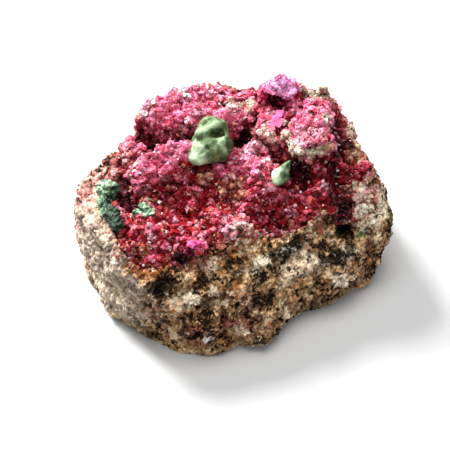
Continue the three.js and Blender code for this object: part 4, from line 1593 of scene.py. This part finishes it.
NODULE_FOLDS = (
    Fold("brow", (0.0, 6.1, 34.0), (-4.9, 6.9, 33.1), 0.9, 0.4),
    Fold("top plate", (-1.6, 8.4, 34.0), (-2.6, 8.2, 33.8), 1.2, -0.4),
    Fold("top right corner", (1.4, 8.2, 34.0), (1.4, 5.8, 33.6), 1.2, -0.9),
    Fold("top left corner", (-5.4, 9.4, 32.4), (-6.2, 7.6, 31.8), 1.2, -0.8),
    Fold("hollow under the brow", (-0.6, 4.4, 33.2), (-1.9, 4.9, 32.9), 0.9, -1.1),
    Fold("shaded band beside it", (-2.6, 5.1, 33.0), (-5.4, 5.7, 32.4), 0.7, -0.35),
    Fold("rim of the right lobe", (-0.4, 3.4, 32.8), (-2.2, 2.9, 32.0), 0.6, 0.45),
    Fold("right lobe", (-0.6, 1.9, 31.8), (-1.6, 1.6, 31.2), 1.2, 0.3),
    Fold("dent in the lobe", (-0.9, 2.2, 31.9), (-1.1, 1.9, 31.6), 0.5, -0.35),
    Fold("crease left of the lobe", (-2.9, 3.4, 32.2), (-3.2, 1.8, 30.6), 0.5, -0.4),
    Fold("pit", (-4.7, 3.4, 32.0), (-4.8, 3.2, 31.9), 0.35, -0.3),
    Fold("line below the pit", (-4.9, 3.3, 31.8), (-6.0, 3.4, 30.8), 0.3, -0.25),
    Fold("second line", (-3.6, 2.6, 31.2), (-4.4, 1.9, 30.0), 0.3, -0.2),
    Fold("lower right corner", (-2.4, 0.4, 29.2), (-3.4, 0.4, 28.6), 1.2, -0.5),
    Fold("lower left corner", (-8.2, 4.4, 29.0), (-7.4, 2.8, 28.6), 1.3, 1.1),
)
NODULE_MARKS = (
    # Painted shade: darker olive on the nodule's right side and in its hollow.
    Patch("dark right side", (0.0, 2.0), (1.3, 2.0), Tone.OLIVE_KOLWEZITE, 0.85, turn=20),
    Patch("dark hollow", (-1.5, 4.7), (1.2, 0.7), Tone.OLIVE_KOLWEZITE, 0.6),
    Patch("stain", (-3.7, 1.5), (0.8, 0.6), Tone.OLIVE, 0.6),
    # Painted light: paler green on the nodule's left side.
    Patch("pale left side", (-6.6, 5.0), (1.3, 3.2), Tone.PALE_KOLWEZITE, 0.6, turn=10),
)
BUD_FOLDS = (
    Fold("neck of the tip", (8.4, -6.8, 28.9), (8.6, -6.4, 29.1), 0.7, -0.35),
    Fold("left cheek", (5.2, -7.2, 27.4), (5.0, -7.8, 27.0), 0.9, 0.35),
    Fold("brown hollow", (7.0, -7.9, 27.2), (6.2, -8.1, 27.0), 0.6, -0.25),
)
BUD_MARKS = (
    # Painted light: paler green on the bud's upper left side.
    Patch("pale left side", (5.6, -6.4), (1.7, 1.5), Tone.PALE_KOLWEZITE, 0.8, ragged=0.2, turn=-30),
    Patch("green middle", (7.0, -7.6), (1.0, 0.7), Tone.OLIVE_KOLWEZITE, 0.7, turn=-20),
)
RIBBON_FOLDS = (
    Fold("left edge", (-27.6, 8.0, 24.6), (-29.0, 2.6, 24.4), 0.9, 0.7),
    Fold("notch between the plate and the ribbon", (-24.4, 7.6, 25.6), (-25.2, 6.8, 25.4), 0.7, -0.8),
    Fold("plate", (-24.6, 10.1, 25.5), (-25.8, 10.6, 24.4), 1.4, 0.4),
    Fold("cavity", (-25.2, 5.9, 25.0), (-25.6, 4.6, 25.0), 1.1, -1.2),
    Fold("right side of the lower lumps", (-24.6, 3.0, 25.0), (-25.4, 0.2, 25.0), 1.2, -0.9),
    Fold("side hollow", (-23.9, 8.7, 25.8), (-24.2, 8.0, 25.4), 0.6, -0.5),
)
RIBBON_MARKS = (
    Patch("pale plate", (-24.9, 10.2), (1.9, 1.3), Tone.PALE_MALACHITE, 0.95, turn=-30),
    # Painted shade: black in the cavity beside the pale plate.
    Patch("dark cavity", (-25.2, 5.6), (1.4, 2.4), Tone.BLACK, 0.95, ragged=0.3, turn=20),
    Patch("dark lumps", (-26.6, 1.4), (3.0, 3.0), Tone.DARK_GREEN, 0.85),
)
SPRIG_FOLDS = (
    Fold("middle", (-21.4, -0.2, 25.4), (-21.2, -0.4, 25.4), 0.4, -0.5),
    Fold("left arm", (-22.0, 0.2, 25.2), (-23.2, 0.9, 24.8), 0.35, 0.7),
    Fold("front arm", (-21.5, -0.8, 25.0), (-21.8, -1.8, 24.6), 0.35, 0.7),
    Fold("right arm", (-20.8, -0.6, 25.0), (-19.9, -1.2, 24.8), 0.35, 0.7),
    Fold("back arm", (-21.0, 0.4, 25.4), (-20.6, 1.4, 25.2), 0.35, 0.7),
)
SPRIG_MARKS = (Patch("pale arms", (-21.6, -0.2), (2.2, 1.6), Tone.PALE_MALACHITE, 0.5),)

# The least height that a growth's tones are told apart by, in millimetres.
LEAST_LUMP = 0.15


@dataclass
class Growth:
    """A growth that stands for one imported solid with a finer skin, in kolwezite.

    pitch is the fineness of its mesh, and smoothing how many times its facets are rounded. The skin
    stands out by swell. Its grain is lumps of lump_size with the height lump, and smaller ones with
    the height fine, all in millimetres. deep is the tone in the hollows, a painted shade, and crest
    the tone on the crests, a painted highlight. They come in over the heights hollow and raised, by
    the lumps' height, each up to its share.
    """

    node: str
    name: str
    folds: tuple[Fold, ...]
    marks: tuple[Mark, ...]
    slot: str = "kolwezite"
    finish: KolweziteFinish | MalachiteFinish = KolweziteFinish()
    tone: Tone = Tone.KOLWEZITE
    deep: Tone = Tone.OLIVE_KOLWEZITE
    crest: Tone = Tone.PALE_KOLWEZITE
    pitch: float = 0.16
    smoothing: int = 10
    swell: float = 0.1
    lump: float = 0.12
    lump_size: float = 1.1
    fine: float = 0.05
    hollow: tuple[float, float] = (-3.0, -0.2)
    raised: tuple[float, float] = (0.2, 1.6)
    deep_share: float = 0.9
    crest_share: float = 0.75

    def height(self, points: np.ndarray) -> np.ndarray:
        """Gives how far the growth's skin stands out from the solid at each place."""
        grain = self.lump * smooth_noise(points, self.lump_size, 41)
        return grain + self.fine * smooth_noise(points, self.lump_size / 3, 42) + folded(points, self.folds)

    def tones(self, points: np.ndarray, height: np.ndarray) -> np.ndarray:
        """Gives the growth's colour at each place.

        Args:
            points: Places in millimetres.
            height: How far the skin stands out there, in millimetres.

        Returns:
            Linear colours.
        """
        scale = max(0.8 * self.lump, LEAST_LUMP)
        low = 1 - ramp(height, self.hollow[0] * scale, self.hollow[1] * scale)
        high = ramp(height, self.raised[0] * scale, self.raised[1] * scale)
        colours = np.tile(self.tone.linear(), (len(points), 1))
        # Painted shade in the hollows and painted highlight on the crests.
        colours = lay(colours, self.deep, self.deep_share * low)
        colours = lay(colours, self.crest, self.crest_share * high)
        return lay_marks(colours, points, self.marks)

    def build(self) -> None:
        """Makes and dresses the growth."""
        piece = refined_copy(self.node, self.name, self.pitch, self.smoothing)
        points = mesh_points(piece.data)
        height = self.height(points)
        paint_points(piece.data, self.tones(points, height))
        place_points(piece.data, points + mesh_normals(piece.data) * (height + self.swell)[:, None])
        settle(piece, self.node, self.finish.material(), smooth=True)


@dataclass
class MalachiteGrowth(Growth):
    """A growth of malachite."""

    slot: str = "malachite"
    finish: MalachiteFinish = MalachiteFinish()
    tone: Tone = Tone.MALACHITE
    deep: Tone = Tone.DARK_GREEN
    crest: Tone = Tone.PALE_MALACHITE


GROWTHS = (
    Growth("kolwezite_nodule", "large_nodule", NODULE_FOLDS, NODULE_MARKS, deep_share=0.7, crest_share=0.35),
    Growth("kolwezite_bud", "small_nodule", BUD_FOLDS, BUD_MARKS, pitch=0.12, smoothing=6),
    MalachiteGrowth("malachite_crust", "malachite_ribbon", RIBBON_FOLDS, RIBBON_MARKS,
                    smoothing=2, lump=0.7, lump_size=1.3, fine=0.4),
    MalachiteGrowth("malachite_sprig", "malachite_tuft", SPRIG_FOLDS, SPRIG_MARKS,
                    pitch=0.11, smoothing=1, lump=0.4, lump_size=0.7, fine=0.25),
)


# ---- Studio ----


@dataclass(frozen=True)
class Lamp:
    """A round soft light: where it hangs, in degrees and millimetres, how wide and how strong."""

    name: str
    heading: float
    height: float
    distance: float
    size: float
    power: float


@dataclass(frozen=True)
class Studio:
    """The floor, the lights and the camera, all in millimetres and degrees.

    The camera sees what is between the two distances of seen. The lamps look at a point lamps_at
    above the middle of the floor.
    """

    azimuth: float = -30.0
    elevation: float = 50.0
    distance: float = 300.0
    lens: float = 107.0
    sensor: float = 36.0
    target: tuple[float, float] = (1.5, 7.0)
    seen: tuple[float, float] = (10.0, 10000.0)
    lamps_at: float = 15.0
    floor_half: float = 900.0
    key: Lamp = Lamp("key", 101.0, 40.0, 1800.0, 590.0, 69.0)
    top: Lamp = Lamp("top", 60.0, 84.0, 1800.0, 1340.0, 29.0)
    fill: float = 0.3

    def direction(self, heading: float, height: float) -> Vector:
        """Gives the way to a place far off.

        Args:
            heading: Its heading from +X, in degrees.
            height: Its height over the floor, in degrees.

        Returns:
            A way of length 1.
        """
        level = math.cos(math.radians(height))
        return Vector((level * math.cos(math.radians(heading)), level * math.sin(math.radians(heading)),
                       math.sin(math.radians(height))))

    def aim(self, thing: bpy.types.Object, place: Vector, at: Vector) -> None:
        """Puts a camera or light at a place, looking at another.

        Args:
            thing: The camera or light.
            place: Where it is, in millimetres.
            at: Where it looks, in millimetres.
        """
        turn = (place - at).to_track_quat("Z", "Y").to_matrix().to_4x4()
        thing.matrix_world = Matrix.Translation(place * MM) @ turn
        bpy.context.scene.collection.objects.link(thing)

    def camera(self) -> None:
        """Sets the camera."""
        data = bpy.data.cameras.new("camera")
        data.lens, data.sensor_width, data.sensor_fit = self.lens, self.sensor, "HORIZONTAL"
        data.clip_start, data.clip_end = self.seen[0] * MM, self.seen[1] * MM
        eye = bpy.data.objects.new("camera", data)
        at = Vector((*self.target, 0)) + Vector(PLAN_ORIGIN)
        self.aim(eye, at + self.direction(self.azimuth - 90, self.elevation) * self.distance, at)
        bpy.context.scene.camera = eye

    def floor(self) -> None:
        """Lays the floor."""
        half = self.floor_half
        points = np.array([[-half, -half, 0], [half, -half, 0], [half, half, 0], [-half, half, 0]])
        floor = joined_faces("floor", points, np.array([[0, 1, 2, 3]]))
        floor.data.materials.append(FloorFinish().material())

    def lamp(self, lamp: Lamp) -> None:
        """Hangs one round light, aimed at the specimen.

        Args:
            lamp: The light.
        """
        data = bpy.data.lights.new(lamp.name, "AREA")
        data.shape, data.size, data.energy = "DISK", lamp.size * MM, lamp.power
        thing = bpy.data.objects.new(lamp.name, data)
        place = self.direction(lamp.heading, lamp.height) * lamp.distance
        self.aim(thing, place, Vector((0, 0, self.lamps_at)))

    def lights(self) -> None:
        """Sets the two lights and the even light from all sides."""
        self.lamp(self.key)
        self.lamp(self.top)
        world = bpy.data.worlds.new("studio")
        world.use_nodes = True
        world.node_tree.nodes["Background"].inputs["Strength"].default_value = self.fill
        world.node_tree.nodes["Background"].inputs["Color"].default_value = (1, 1, 1, 1)
        bpy.context.scene.world = world

    def build(self) -> None:
        """Sets up the studio."""
        bpy.context.scene.view_settings.view_transform = "Standard"
        bpy.context.scene.view_settings.look = "Medium High Contrast"
        self.camera()
        self.floor()
        self.lights()


def main() -> None:
    """Builds the specimen and its studio."""
    logging.basicConfig(level=logging.INFO, format="%(name)s: %(message)s")
    Studio().build()
    rock = HostRock().build()
    SalroseDruse().build(rock)
    for growth in GROWTHS:
        growth.build()


if __name__ == "__main__":
    main()
